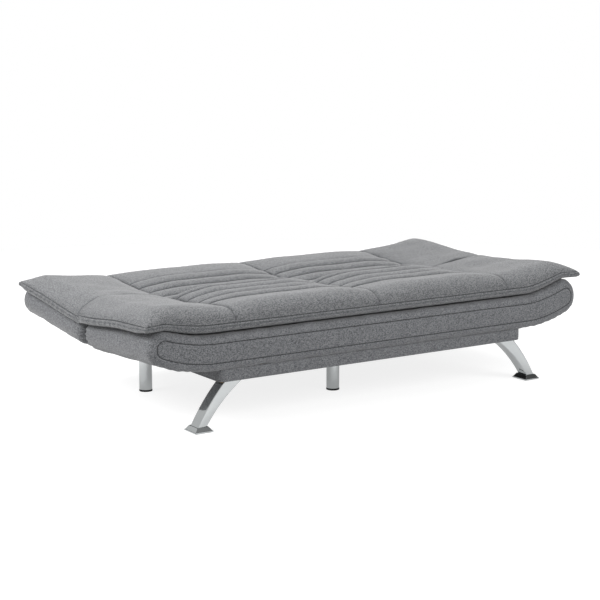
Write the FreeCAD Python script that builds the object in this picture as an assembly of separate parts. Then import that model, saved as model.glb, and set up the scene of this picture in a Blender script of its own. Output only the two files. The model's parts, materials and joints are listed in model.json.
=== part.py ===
# Click clack sofa bed, lying flat as a bed.
# Millimetres, X along the length, Y from the seat front to the back, Z up, origin on the floor in the middle.
# Each half (seat, back) is shaped level in its own frame, with u as the distance from the crease,
# and is then tilted about the hinge line, which lies along X at the crease.
import FreeCAD, Part
import math
import os
from FreeCAD import Vector

os.makedirs("parts", exist_ok=True)

# Hinge line and lie of the two halves
hinge_height = 335.0
seat_tilt = -2.5
back_tilt = 5.8
notch_pitch = 17.0
recline_notches = 4
lift_notches = 1

# Upholstered bodies
body_bottom = 194.6
body_thick = 127.0
body_depth = 525.0
body_tip = 972.0
crease_gap = 6.0
bend_start = 710.0
bend_radius = 610.0
top_bend_radius = 640.0
shell_wall = 12.0
crease_wall = 54.0
face_fillet = 18.0
crease_fillet = 38.0
piping_radius = 2.5
piping_inset = 24.0

# Quilted pad, with its thickness at the outer edge, at the cross seams, in the panels and at the tips
pad_tip = 980.0
pad_depth = 514.0
pad_underlap = 3.0
pad_edge = {-1: 36.0, 1: 34.0}
pad_seam = {-1: 78.0, 1: 46.0}
pad_panel = {-1: 101.0, 1: 72.0}
pad_end = {-1: 36.0, 1: 30.0}
roll_width = 205.0
roll_rise = {-1: 14.0, 1: -7.0}
channel_count = 4
channel_crown = 6.0
wing_seam = 620.0
crease_round = 20.0
crease_wedge = 42.0
crease_toe = 12.0

# Frame inside each half
board_thick = 18.0
rib_thick = 20.0
rib_top = 283.0
mid_rib_place = 215.0
end_rib_place = 870.0
end_rib_height = 63.0
wire_radius = 1.8
spring_height = 290.0
spring_count = 5
spring_step = 250.0
spring_swing = 40.0
spring_loops = 16
clip_length = 24.0
clip_depth = 11.0
clip_height = 12.0
foam_half_length = 700.0
foam_thick = 17.0

# Plinth
plinth_half_length = 691.0
plinth_setback = 10.0
plinth_rear = 225.0
plinth_bottom = 173.0
plinth_corner = 25.0
cover_thick = 6.0
rail_thick = 25.0
cloth_thick = 1.0
block_length = 130.0
block_width = 110.0

# Front legs and their foot plates
leg_depth = 52.0
leg_setback = 14.0
leg_wall = 2.5
leg_outer = [(664.0, 173.0), (735.0, 85.0), (775.0, 20.0)]
leg_inner = [(588.0, 173.0), (683.0, 90.0), (737.0, 20.0)]
foot_length = 72.0
foot_width = 80.0
foot_flange = 4.0
foot_top_length = 46.0
foot_top_width = 60.0
foot_height = 20.0
glide_thick = 2.0
glide_inset = 4.0
foot_bevel = 4.0
leg_wall_slant = 1.3
leg_plate_thick = 4.0

# Round legs
tube_radius = 25.0
tube_wall = 1.5
cap_height = 7.0
cap_plug = 14.0
cap_lip = 0.8
rear_leg_x = 620.0
rear_leg_y = 175.0
centre_leg_y = -205.0
round_plate_side = 84.0

# Click clack mechanism
plate_thick = 5.0
plate_gap = 1.0
pin_radius = 5.0
running_gap = 0.05
hub_radius = 14.0
pin_head_radius = 9.0
pin_head = 3.0
washer_radius = 9.0
ratchet_radius = 45.0
notch_depth = 4.2
notch_half_width = 3.0
notch_angle = 285.0
pawl_reach = 30.0
pawl_offset = 6.0
pawl_hub = 7.0
pawl_pin_radius = 2.5
pawl_release = 10.0
pawl_nose = [(0.0, -3.4), (2.2, 1.0), (6.0, 1.0), (24.0, 0.0), (30.0, -1.0)]
pawl_tail = [(12.0, 9.5), (-4.0, 8.0), (-4.0, 1.0), (-2.2, 1.0)]
leaf_blade = [(-2.0, 9.4), (-2.0, 10.8), (12.0, 12.6), (30.0, 15.6), (46.0, 15.6)]
leaf_foot = [(46.0, 4.0), (40.0, 4.0), (40.0, 14.2), (30.0, 14.2), (12.0, 11.2)]
lobe_rim = 4.0
rivet_rim = 1.2
rivet_head = 0.6
arm_width = 35.0
arm_length = 250.0
arm_drop = 50.0
neck_low = (8.0, 11.0)
neck_high = (9.0, 10.0)
neck_lead = 8.0
pocket_margin = 6.0
well_depth = 60.0
well_margin = 9.0
bracket_foot = 110.0
bracket_foot_height = 15.0
bracket_flare = 30.0
bracket_neck = 40.0

# Screws and bolts
bolt_radius = 4.0
bolt_head_radius = 7.5
bolt_head = 5.0
bolt_show = 2.0
bracket_bolt_head = 6.5
nut_height = 6.5
screw_radius = 2.5
screw_head_radius = 4.6
screw_head = 2.6
screw_length = 16.0
screw_edge = 8.0
plate_reach = 60.0

# Clearances
soft_gap = 0.4
fit_gap = 0.3
slide_gap = 0.1
slot_gap = 2.0
block_gap = 2.0
cut_gap = 1.0

# Values that follow from the sizes above
body_top = body_bottom + body_thick
cavity_start = crease_gap + crease_wall
cavity_end = body_depth - shell_wall
inner_board_end = cavity_start + board_thick
outer_board_start = cavity_end - fit_gap - board_thick
rib_start = inner_board_end + fit_gap
rib_end = outer_board_start - fit_gap
rib_bottom = body_bottom + shell_wall + fit_gap
plinth_front = plinth_setback - body_depth
rail_x = plinth_half_length - cover_thick - rail_thick
bracket_x = rail_x - plate_thick
back_arm_x = bracket_x - plate_gap - plate_thick
seat_arm_x = back_arm_x - plate_gap - plate_thick
well_low = seat_arm_x - well_margin
well_high = rail_x + well_margin + 1.0
arm_rib_x = {-1: seat_arm_x - rib_thick, 1: back_arm_x - rib_thick}
arm_x = {-1: seat_arm_x, 1: back_arm_x}
rail_bottom = plinth_bottom + leg_plate_thick
hinge = Vector(0, 0, hinge_height)
SIDES = {"left": -1, "right": 1}


# Small helpers


def block(x, y, z):
    """Box between pairs of limits, given in any order."""
    low = [min(pair) for pair in (x, y, z)]
    size = [max(pair) - min(pair) for pair in (x, y, z)]
    return Part.makeBox(*size, Vector(*low))


def rod(radius, start, end):
    """Cylinder from one point to another."""
    start, end = Vector(*start), Vector(*end)
    return Part.makeCylinder(radius, (end - start).Length, start, end - start)


def plate_yz(points, x0, x1):
    """Flat plate whose outline lies in the YZ plane, between two X values."""
    low, high = min(x0, x1), max(x0, x1)
    outline = Part.makePolygon([Vector(low, y, z) for y, z in points + points[:1]])
    return Part.Face(outline).extrude(Vector(high - low, 0, 0))


def disc_yz(radius, y, z, x0, x1):
    """Round disc in the YZ plane, between two X values."""
    return rod(radius, (min(x0, x1), y, z), (max(x0, x1), y, z))


def join(shapes):
    """One solid out of shapes that touch or overlap."""
    joined = shapes[0].fuse(shapes[1:]) if len(shapes) > 1 else shapes[0]
    return joined.removeSplitter()


def group(shapes):
    """Separate solids kept together in one node."""
    return Part.makeCompound([solid for shape in shapes for solid in shape.Solids])


def tilted(shape, side):
    """The shape of one half, turned from its level frame to the way it lies."""
    turned = shape.copy()
    turned.rotate(hinge, Vector(1, 0, 0), seat_tilt if side < 0 else back_tilt)
    return turned


def under_body(y, side):
    """Height of the underside of one half at a given Y, as it lies."""
    angle = math.radians(seat_tilt if side < 0 else back_tilt)
    return hinge_height + y * math.tan(angle) + (body_bottom - hinge_height) / math.cos(angle)


# Boat-shaped upholstered body


def tip_circle():
    """Centre and radius of the round end, which touches both bends and reaches the tip."""
    low_centre = body_bottom + bend_radius
    top_centre = body_top + top_bend_radius

    def height(radius):
        squares = bend_radius ** 2 - top_bend_radius ** 2 - low_centre ** 2 + top_centre ** 2
        return (squares - 2 * radius * (bend_radius + top_bend_radius)) / (2 * (top_centre - low_centre))

    def miss(radius):
        run = body_tip - radius - bend_start
        return math.hypot(run, height(radius) - low_centre) - (bend_radius - radius)

    low, high = 0.2 * body_thick, 0.8 * body_thick
    for _ in range(60):
        radius = 0.5 * (low + high)
        if miss(low) * miss(radius) <= 0:
            high = radius
        else:
            low = radius
    return body_tip - radius, height(radius), radius


tip_x, tip_z, tip_radius = tip_circle()


def low_curve(x, inset=0.0):
    """Height of the body's underside: flat, then an arc that rises to the tip."""
    run = max(0.0, abs(x) - bend_start)
    radius = bend_radius - inset
    return body_bottom + bend_radius - math.sqrt(radius ** 2 - run ** 2)


def top_curve(x, inset=0.0):
    """Height of the body's top: flat, then an arc that rises to the tip."""
    run = max(0.0, abs(x) - bend_start)
    radius = top_bend_radius + inset
    return body_top + top_bend_radius - math.sqrt(radius ** 2 - run ** 2)


def bend_ends(inset):
    """X where the low bend and the top bend run into the round end."""
    low_share = (bend_radius - inset) / (bend_radius - tip_radius)
    top_share = (top_bend_radius + inset) / (top_bend_radius + tip_radius)
    run = tip_x - bend_start
    return bend_start + run * low_share, bend_start + run * top_share


def deck_height(x):
    """Height that the pad lies at: the body's top, level past the crest of the round end."""
    along = min(abs(x), tip_x)
    if along <= bend_ends(0)[1]:
        return top_curve(along)
    return tip_z + math.sqrt(tip_radius ** 2 - (along - tip_x) ** 2)


def boat_wire(inset, y):
    """Closed outline of the body in the XZ plane at one Y, drawn in by an inset."""
    low_end, top_end = bend_ends(inset)
    tip = Vector(body_tip - inset, y, tip_z)
    low_middle = 0.5 * (bend_start + low_end)
    top_middle = 0.5 * (bend_start + top_end)
    low = [Vector(x, y, low_curve(x, inset)) for x in (bend_start, low_middle, low_end)]
    top = [Vector(x, y, top_curve(x, inset)) for x in (top_end, top_middle, bend_start)]

    def flip(point):
        return Vector(-point.x, y, point.z)

    edges = [
        Part.LineSegment(flip(low[0]), low[0]),
        Part.Arc(*low),
        Part.Arc(low[2], tip, top[0]),
        Part.Arc(*top),
        Part.LineSegment(top[2], flip(top[2])),
        Part.Arc(flip(top[2]), flip(top[1]), flip(top[0])),
        Part.Arc(flip(top[0]), flip(tip), flip(low[2])),
        Part.Arc(flip(low[2]), flip(low[1]), flip(low[0])),
    ]
    return Part.Wire([edge.toShape() for edge in edges])


def boat_slab(inset, u0, u1, side):
    """Body outline carried along Y between two distances from the crease."""
    face = Part.Face(boat_wire(inset, side * u0))
    return face.extrude(Vector(0, side * (u1 - u0), 0))


def edges_at(shape, y):
    """Edges that lie in the plane of one Y value."""
    return [edge for edge in shape.Edges if abs(edge.BoundBox.YMin - y) + abs(edge.BoundBox.YMax - y) < 0.01]


def wells(side, top):
    """The two slots at the crease that leave room for the mechanism."""
    return [
        block((mark * well_low, mark * well_high), (0, side * well_depth), (0, top))
        for mark in SIDES.values()
    ]


def body_cover(side):
    """Padded cover of one half: a closed shell, rounded at its faces, open at the mechanism."""
    outer = boat_slab(0, crease_gap, body_depth, side)
    outer = outer.makeFillet(face_fillet, edges_at(outer, side * body_depth))
    outer = outer.makeFillet(crease_fillet, edges_at(outer, side * crease_gap))
    cavity = boat_slab(shell_wall, cavity_start, cavity_end, side)
    return outer.cut([cavity] + wells(side, hinge_height * 2))


def piping(side):
    """Oval piping on the outer long face, a cord laid just proud of the cover."""
    y = side * (body_depth + piping_radius + fit_gap)
    path = boat_wire(piping_inset, y)
    start = path.Edges[0].valueAt(path.Edges[0].FirstParameter)
    ring = Part.Wire(Part.makeCircle(piping_radius, start, Vector(1, 0, 0)))
    tube = path.makePipeShell([ring], True, False)
    return tube


# Frame, springs and foam of one half


def arm_slots(side):
    """Slots in the inner board through which the two hinge arms reach the ribs."""
    x0 = arm_x[side] - fit_gap
    x1 = arm_x[side] + plate_thick + fit_gap
    z1 = hinge_height - arm_drop + slot_gap
    z0 = z1 - arm_width - 2 * slot_gap
    return [
        block((mark * x0, mark * x1), (side * (cavity_start - 1), side * (inner_board_end + 1)), (z0, z1))
        for mark in SIDES.values()
    ]


def inner_board(side):
    board = boat_slab(shell_wall + fit_gap, cavity_start, inner_board_end, side)
    return board.cut(arm_slots(side))


def outer_board(side):
    return boat_slab(shell_wall + fit_gap, outer_board_start, outer_board_start + board_thick, side)


def arm_bolt_places(side):
    """Y and Z of the bolts that hold an arm to its rib, in the level frame."""
    first = inner_board_end + 32.0
    last = arm_length - 20.0
    z = hinge_height - arm_drop - arm_width / 2
    return [(side * u, z) for u in (first, 0.5 * (first + last), last)]


def arm_ribs(side):
    """The two ribs that carry the hinge arms."""
    ribs = []
    for mark in SIDES.values():
        x0 = mark * arm_rib_x[side]
        x1 = x0 + mark * rib_thick
        rib = block((x0, x1), (side * rib_start, side * rib_end), (rib_bottom, rib_top))
        holes = [disc_yz(bolt_radius + slide_gap, y, z, x0, x1) for y, z in arm_bolt_places(side)]
        ribs.append(rib.cut(holes))
    return ribs


def middle_ribs(side):
    return [
        block(
            (mark * (mid_rib_place - rib_thick / 2), mark * (mid_rib_place + rib_thick / 2)),
            (side * rib_start, side * rib_end),
            (rib_bottom, rib_top),
        )
        for mark in SIDES.values()
    ]


def end_ribs(side, gap=0.0):
    """Short ribs in the up-turned ends, with an optional gap all round."""
    low = low_curve(end_rib_place + rib_thick / 2, shell_wall) + fit_gap
    half = rib_thick / 2 + gap
    return [
        block(
            (mark * (end_rib_place - half), mark * (end_rib_place + half)),
            (side * (rib_start - gap), side * (rib_end + gap)),
            (low - gap, low + end_rib_height + gap),
        )
        for mark in SIDES.values()
    ]


def end_foam(side):
    """Foam blocks that fill the up-turned ends around their ribs."""
    fill = boat_slab(shell_wall + fit_gap, rib_start + fit_gap, rib_end - fit_gap, side)
    start = foam_half_length + 20.0
    pieces = []
    for mark in SIDES.values():
        zone = block((mark * start, mark * body_tip), (0, side * body_depth), (0, 2 * hinge_height))
        pieces.append(fill.common(zone).cut(end_ribs(side, fit_gap)))
    return group(pieces)


def foam_slab(side):
    top = body_top - shell_wall - fit_gap
    return block(
        (-foam_half_length, foam_half_length),
        (side * (rib_start + clip_depth + fit_gap), side * (rib_end - clip_depth - fit_gap)),
        (top - foam_thick, top),
    )


def spring_places():
    first = -0.5 * (spring_count - 1) * spring_step
    return [first + n * spring_step for n in range(spring_count)]


def spring_ends():
    """Distances from the crease of the first and last run of each spring."""
    return inner_board_end + fit_gap + clip_depth / 2, outer_board_start - fit_gap - clip_depth / 2


def spring(x, side):
    """Sinuous spring: straight runs along X joined by half turns, in one unbroken wire."""
    start, end = spring_ends()
    turn = (end - start) / spring_loops / 2
    edges = []
    for run in range(spring_loops + 1):
        way = 1 if run % 2 == 0 else -1
        u = start + 2 * turn * run
        tail = Vector(x - way * spring_swing, side * u, spring_height)
        head = Vector(x + way * spring_swing, side * u, spring_height)
        edges.append(Part.LineSegment(tail, head).toShape())
        if run < spring_loops:
            bulge = Vector(head.x + way * turn, side * (u + turn), spring_height)
            after = Vector(head.x, side * (u + 2 * turn), spring_height)
            edges.append(Part.Arc(head, bulge, after).toShape())
    path = Part.Wire(edges)
    ring = Part.Wire(Part.makeCircle(wire_radius, path.Vertexes[0].Point, Vector(1, 0, 0)))
    return path.makePipeShell([ring], True, False)


def spring_clips(side):
    """Small steel clips that hold the first and last run of each spring against the boards."""
    clips = []
    half = clip_length / 2
    low = spring_height - clip_height / 2
    for x in spring_places():
        for u, board in zip(spring_ends(), (inner_board_end, outer_board_start)):
            reach = board + math.copysign(clip_depth, u - board)
            clip = block((x - half, x + half), (side * board, side * reach), (low, low + clip_height))
            bore = rod(
                wire_radius + slide_gap,
                (x - half, side * u, spring_height),
                (x + half, side * u, spring_height),
            )
            clips.append(clip.cut(bore))
    return group(clips)


# Quilted pad


def crown(share):
    """0 at both ends of a panel and 1 in its middle, flat-topped like a stuffed panel."""
    return 1 - (2 * share - 1) ** 4


def pad_thick(x, side):
    """Thickness behind the roll: panels rise between the cross seams, wings fall to the tip."""
    if x <= wing_seam:
        return pad_seam[side] + (pad_panel[side] - pad_seam[side]) * crown(x / wing_seam)
    share = (x - wing_seam) / (pad_tip - wing_seam)
    low = pad_seam[side] + (pad_end[side] - pad_seam[side]) * share
    return low + (pad_panel[side] - 0.5 * (pad_seam[side] + pad_end[side])) * crown(share)


def pad_section(x, mark, side, channels):
    """Closed outline of the pad across its depth at one X, cut back at the crease to a slope."""
    base = deck_height(x) + soft_gap
    under = base - pad_underlap
    top = base + pad_thick(x, side)
    bulge = crown(x / wing_seam) if channels else 1.0
    slope = math.radians(crease_wedge)
    centre = (crease_round + (top - crease_round - hinge_height) * math.cos(slope)) / math.sin(slope)
    seam = pad_depth - roll_width
    toe = max(hinge_height + crease_toe, base + pad_underlap)
    toe_u = (toe - hinge_height) / math.tan(slope)

    def at(u, z):
        return Vector(mark * x, side * u, z)

    def rounding(turn):
        return at(centre - crease_round * math.sin(turn), top - crease_round + crease_round * math.cos(turn))

    outer = at(pad_depth, base + pad_edge[side])
    crest = at(pad_depth - 0.4 * roll_width, top + roll_rise[side] * (0.3 + 0.7 * bulge))
    edges = [Part.LineSegment(at(pad_depth, under), outer), Part.Arc(outer, crest, at(seam, top))]
    count = channel_count if channels else 1
    width = (seam - centre) / count
    for n in range(count):
        start = seam - n * width
        middle = at(start - 0.5 * width, top + channel_crown * (0.3 + 0.7 * bulge))
        edges.append(Part.Arc(at(start, top), middle, at(start - width, top)))
    edges.append(Part.Arc(at(centre, top), rounding(0.5 * slope), rounding(slope)))
    edges.append(Part.LineSegment(rounding(slope), at(toe_u, toe)))
    edges.append(Part.LineSegment(at(toe_u, toe), at(toe_u, under)))
    edges.append(Part.LineSegment(at(toe_u, under), at(pad_depth, under)))
    return Part.Wire([edge.toShape() for edge in edges])


def pad(side):
    """One half of the quilted pad: two channelled panels between two smooth wings."""
    panel = [wing_seam * part for part in (0.0, 0.05, 0.15, 0.5, 0.85, 0.95, 1.0)]
    wing = [wing_seam + (pad_tip - wing_seam) * part for part in (0.0, 0.08, 0.3, 0.6, 0.85, 1.0)]
    pieces = []
    for mark in SIDES.values():
        pieces.append(Part.makeLoft([pad_section(x, mark, side, True) for x in panel], True, False))
        pieces.append(Part.makeLoft([pad_section(x, mark, side, False) for x in wing], True, False))
    pockets = []
    for mark in SIDES.values():
        x0, x1 = mark * (well_low + slot_gap), mark * (well_high - slot_gap)
        pockets.append(disc_yz(hub_radius + pocket_margin, 0, hinge_height, x0, x1))
        pockets.append(block((x0, x1), (0, side * well_depth), (body_top, hinge_height - soft_gap)))
    body_below = boat_slab(-soft_gap, -crease_gap, body_depth, side)
    return pieces[0].fuse(pieces[1:]).cut(pockets + [body_below])


# Click clack mechanism, built as it lies


def polar(radius, degrees):
    angle = math.radians(degrees)
    return radius * math.cos(angle), radius * math.sin(angle)


def pawl_point(along, out):
    """Y and Z of a point by its distance along the pawl from the nose and outwards from the rim."""
    y, z = polar(ratchet_radius, notch_angle)
    out_y, out_z = polar(1.0, notch_angle)
    along_y, along_z = out_z, -out_y
    return y + along * along_y + out * out_y, hinge_height + z + along * along_z + out * out_z


def arm_outline(side):
    """Outline of an arm in the level frame: a neck from the hub down to a bar along the rib."""
    z1 = hinge_height - arm_drop
    z0 = z1 - arm_width
    return [
        (-side * neck_low[0], hinge_height - neck_low[1]),
        (side * (cavity_start - neck_lead), z0),
        (side * arm_length, z0),
        (side * arm_length, z1),
        (side * (cavity_start + 1.0), z1),
        (side * neck_high[0], hinge_height + neck_high[1]),
    ]


def arm_blank(side, mark):
    x0 = mark * arm_x[side]
    x1 = x0 + mark * plate_thick
    bar = plate_yz(arm_outline(side), x0, x1)
    hub = disc_yz(hub_radius, 0, hinge_height, x0, x1)
    holes = [disc_yz(bolt_radius + slide_gap, y, z, x0, x1) for y, z in arm_bolt_places(side)]
    return tilted(bar.fuse(hub).cut(holes), side), x0, x1


def seat_arm(mark):
    """Steel arm of the seat, with the lobe that carries the pawl's pin."""
    blank, x0, x1 = arm_blank(-1, mark)
    y, z = pawl_point(pawl_reach, pawl_offset)
    lobe = disc_yz(pawl_hub + lobe_rim, y, z, x0, x1)
    diagonal = hub_radius * math.sqrt(0.5)
    web = plate_yz(
        [
            (diagonal, hinge_height - diagonal),
            (y + pawl_hub, z - pawl_hub),
            (y - pawl_hub, z - pawl_hub - lobe_rim),
            (neck_lead - cavity_start, hinge_height - arm_drop - arm_width),
            (-hub_radius, hinge_height),
        ],
        x0,
        x1,
    )
    bores = [
        disc_yz(pin_radius + running_gap, 0, hinge_height, x0, x1),
        disc_yz(pawl_pin_radius, y, z, x0, x1),
    ]
    return join([blank, lobe, web]).cut(bores)


def back_arm(mark):
    """Steel arm of the back, with a notched quadrant that the pawl catches."""
    blank, x0, x1 = arm_blank(1, mark)
    last = notch_angle + notch_pitch * 0.4
    first = notch_angle - notch_pitch * (recline_notches + lift_notches) - notch_pitch * 0.3
    steps = 12
    rim = [polar(ratchet_radius * 1.3, first + (last - first) * n / steps) for n in range(steps + 1)]
    wedge = plate_yz([(0.0, hinge_height)] + [(y, hinge_height + z) for y, z in rim], x0, x1)
    sector = disc_yz(ratchet_radius, 0, hinge_height, x0, x1).common(wedge)
    notches = []
    for n in range(recline_notches + lift_notches + 1):
        degrees = notch_angle - n * notch_pitch
        out_y, out_z = polar(1.0, degrees)
        tip = (out_y * (ratchet_radius - notch_depth), out_z * (ratchet_radius - notch_depth))
        reach = ratchet_radius + notch_depth
        half = 2 * notch_half_width
        corners = [
            tip,
            (out_y * reach - out_z * half, out_z * reach + out_y * half),
            (out_y * reach + out_z * half, out_z * reach - out_y * half),
        ]
        notches.append(plate_yz([(y, hinge_height + z) for y, z in corners], x0, x1))
    bore = disc_yz(pin_radius + running_gap, 0, hinge_height, x0, x1)
    return join([blank, sector]).cut(notches + [bore])


def pawl(mark):
    """Pawl on the seat arm, drawn with its nose in a notch and then turned clear of the rim."""
    x0 = mark * (back_arm_x + slide_gap)
    x1 = mark * (back_arm_x + plate_thick - slide_gap)
    outline = pawl_nose + [(pawl_reach, pawl_offset + pawl_hub)] + pawl_tail
    bar = plate_yz([pawl_point(*point) for point in outline], x0, x1)
    y, z = pawl_point(pawl_reach, pawl_offset)
    solid = join([bar, disc_yz(pawl_hub, y, z, x0, x1)])
    solid = solid.cut(disc_yz(pawl_pin_radius + running_gap, y, z, x0, x1))
    solid.rotate(Vector(0, y, z), Vector(1, 0, 0), -pawl_release)
    return solid


def pawl_pin(mark):
    """Pin riveted in the seat arm, with a head that keeps the pawl on."""
    y, z = pawl_point(pawl_reach, pawl_offset)
    x0 = mark * seat_arm_x
    x1 = mark * (back_arm_x + plate_thick)
    head = mark * (back_arm_x + plate_thick + rivet_head)
    shank = disc_yz(pawl_pin_radius, y, z, x0, x1)
    return join([shank, disc_yz(pawl_pin_radius + rivet_rim, y, z, x1, head)])


def leaf_spring(mark):
    """Leaf spring with its foot on the seat arm and its blade along the released pawl."""
    x0 = mark * (seat_arm_x + plate_thick)
    x1 = mark * (back_arm_x + plate_thick)
    y, z = pawl_point(pawl_reach, pawl_offset)
    solid = plate_yz([pawl_point(*point) for point in leaf_blade + leaf_foot], x0, x1)
    solid.rotate(Vector(0, y, z), Vector(1, 0, 0), -pawl_release)
    return solid


def pivot_pin(mark):
    """Main pin through bracket and both arms, with a riveted head at each end."""
    low = mark * (seat_arm_x - 0.5)
    high = mark * (rail_x + slide_gap)
    shank = disc_yz(pin_radius, 0, hinge_height, low, high)
    heads = [
        disc_yz(pin_head_radius, 0, hinge_height, low, low - mark * pin_head),
        disc_yz(pin_head_radius, 0, hinge_height, high, high + mark * pin_head),
    ]
    return join([shank] + heads)


def pivot_washers(mark):
    """Washers between the plates on the main pin."""
    washers = []
    for start in (seat_arm_x + plate_thick, back_arm_x + plate_thick):
        x0, x1 = mark * (start + slide_gap), mark * (start + plate_gap - slide_gap)
        ring = disc_yz(washer_radius, 0, hinge_height, x0, x1)
        washers.append(ring.cut(disc_yz(pin_radius + running_gap, 0, hinge_height, x0, x1)))
    return washers


def bracket_bolt_places():
    low = rail_bottom + bracket_foot_height / 2
    return [(share * bracket_foot, low) for share in (-0.8, -0.3, 0.3, 0.8)]


def bracket(mark):
    """Fixed bracket: a foot along the end rail and an upright that carries the main pin."""
    x0, x1 = mark * bracket_x, mark * rail_x
    foot_top = rail_bottom + bracket_foot_height
    outline = [
        (-bracket_foot, rail_bottom),
        (bracket_foot, rail_bottom),
        (bracket_foot, foot_top),
        (bracket_flare, foot_top),
        (hub_radius, foot_top + bracket_neck),
        (hub_radius, hinge_height),
        (-hub_radius, hinge_height),
        (-hub_radius, foot_top + bracket_neck),
        (-bracket_flare, foot_top),
        (-bracket_foot, foot_top),
    ]
    solid = join([plate_yz(outline, x0, x1), disc_yz(hub_radius, 0, hinge_height, x0, x1)])
    holes = [disc_yz(bolt_radius + slide_gap, y, z, x0, x1) for y, z in bracket_bolt_places()]
    return solid.cut(holes + [disc_yz(pin_radius, 0, hinge_height, x0, x1)])


def bolt_and_nut(y, z, head_x, nut_x, way):
    """Bolt along X with its head at one face and its nut at the other."""
    shank_end = nut_x - way * (nut_height + bolt_show)
    head = disc_yz(bolt_head_radius, y, z, head_x, head_x + way * bolt_head)
    shank = disc_yz(bolt_radius, y, z, head_x, shank_end)
    nut = disc_yz(bolt_head_radius, y, z, nut_x, nut_x - way * nut_height)
    nut = nut.cut(disc_yz(bolt_radius, y, z, nut_x, nut_x - way * nut_height))
    return [join([head, shank]), nut]


def arm_bolts(side):
    """Bolts and nuts that hold the two arms of one half to their ribs."""
    parts = []
    for mark in SIDES.values():
        plate_face = mark * (arm_x[side] + plate_thick)
        rib_face = mark * arm_rib_x[side]
        for y, z in arm_bolt_places(side):
            parts += bolt_and_nut(y, z, plate_face, rib_face, mark)
    return tilted(group(parts), side)


def bracket_bolts():
    """Bolts driven from the brackets into the end rails."""
    bolts = []
    for mark in SIDES.values():
        face = mark * bracket_x
        for y, z in bracket_bolt_places():
            head = disc_yz(bracket_bolt_head, y, z, face, face - mark * bolt_head)
            shank = disc_yz(bolt_radius, y, z, face, face + mark * (plate_thick + 0.7 * rail_thick))
            bolts.append(join([head, shank]))
    return group(bolts)


# Plinth


def rail_profile(y0, y1):
    """Outline of a rail along Y whose top follows the shallow V of the two halves."""
    slope = math.tan(math.radians(seat_tilt)) - math.tan(math.radians(back_tilt))
    valley = (under_body(0, 1) - under_body(0, -1)) / slope
    tops = [(y1, under_body(y1, 1) - fit_gap)]
    if y0 < valley:
        tops += [(valley, under_body(valley, 1) - fit_gap), (y0, under_body(y0, -1) - fit_gap)]
    else:
        tops += [(y0, under_body(y0, 1) - fit_gap)]
    return [(y0, rail_bottom), (y1, rail_bottom)] + tops


def inner_plinth():
    """Y limits inside the plinth cover."""
    return plinth_front + cover_thick, plinth_rear - cover_thick


def front_rail():
    y0, _ = inner_plinth()
    y1 = y0 + rail_thick
    points = [
        (y0, rail_bottom),
        (y1, rail_bottom),
        (y1, under_body(y1, -1) - fit_gap),
        (y0, under_body(y0, -1) - fit_gap),
    ]
    half = rail_x + rail_thick - plinth_corner
    return drilled(plate_yz(points, -half, half))


def rear_rail():
    _, y1 = inner_plinth()
    y0 = y1 - rail_thick
    half = rail_x + rail_thick - plinth_corner
    return drilled(plate_yz(rail_profile(y0, y1), -half, half))


def rail_span():
    y0, y1 = inner_plinth()
    return y0 + rail_thick, y1 - rail_thick


def end_rail(mark):
    y0, y1 = rail_span()
    rail = plate_yz(rail_profile(y0, y1), mark * rail_x, mark * (rail_x + rail_thick))
    depth = mark * (rail_x + 0.7 * rail_thick)
    return rail.cut([disc_yz(bolt_radius, y, z, mark * rail_x, depth) for y, z in bracket_bolt_places()])


def centre_rail():
    y0, y1 = rail_span()
    return plate_yz(rail_profile(y0, y1), -rail_thick / 2, rail_thick / 2)


def screw_grid(x, y, dx, dy):
    return [(x + a * dx, y + b * dy) for a in (-1, 1) for b in (-1, 1)]


def front_plate_limits(mark):
    """X and Y limits of the plate on a curved leg, which reaches back past the tube for its screws."""
    front = plinth_front + leg_setback
    x = (mark * (leg_inner[0][0] - plate_reach / 4), mark * leg_outer[0][0])
    return x, (front, front + leg_depth + plate_reach)


def front_plate_screws(mark):
    x, y = front_plate_limits(mark)
    half_x = 0.5 * abs(x[1] - x[0]) - screw_edge
    half_y = 0.5 * plate_reach - screw_edge
    return screw_grid(0.5 * (x[0] + x[1]), y[1] - plate_reach / 2, half_x, half_y)


def round_leg_places():
    return [(-rear_leg_x, rear_leg_y), (0.0, centre_leg_y), (rear_leg_x, rear_leg_y)]


def round_plate_screws(x, y):
    offset = round_plate_side / 2 - screw_edge
    return screw_grid(x, y, offset, offset)


def block_top(y0, y1):
    return min(under_body(y, side) for y in (y0, y1) for side in (-1, 1) if side * y > 0) - block_gap


def leg_blocks():
    """Wooden blocks inside the plinth that the leg plates are screwed to."""
    y0, y1 = rail_span()
    centre = (centre_leg_y - block_width / 2, centre_leg_y + block_width / 2)
    corner_x = (rail_x - block_length, rail_x)
    centre_x = (rail_thick / 2, round_plate_side / 2 + 2.0)
    places = [(corner_x, (y0, y0 + block_width)), (corner_x, (bracket_foot + 6.0, y1)), (centre_x, centre)]
    blocks = []
    for mark in SIDES.values():
        for (x0, x1), y in places:
            blocks.append(drilled(block((mark * x0, mark * x1), y, (rail_bottom, block_top(*y)))))
    return blocks


def drilled(wood):
    """A rail or block with the bores of the leg screws that go into it."""
    top = rail_bottom + screw_length
    return wood.cut([rod(screw_radius, (x, y, rail_bottom), (x, y, top)) for x, y in all_screws()])


def all_screws():
    places = []
    for mark in SIDES.values():
        places += front_plate_screws(mark)
    for x, y in round_leg_places():
        places += round_plate_screws(x, y)
    return places


def leg_screws():
    """Countersunk-looking pan screws under the leg plates."""
    screws = []
    for x, y in all_screws():
        top = rail_bottom + screw_length - fit_gap
        shank = rod(screw_radius, (x, y, plinth_bottom), (x, y, top))
        head = rod(screw_head_radius, (x, y, plinth_bottom - screw_head), (x, y, plinth_bottom))
        screws.append(join([head, shank]))
    return group(screws)


def screw_holes(places):
    return [rod(screw_radius + slide_gap, (x, y, 0), (x, y, rail_bottom)) for x, y in places]


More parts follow.
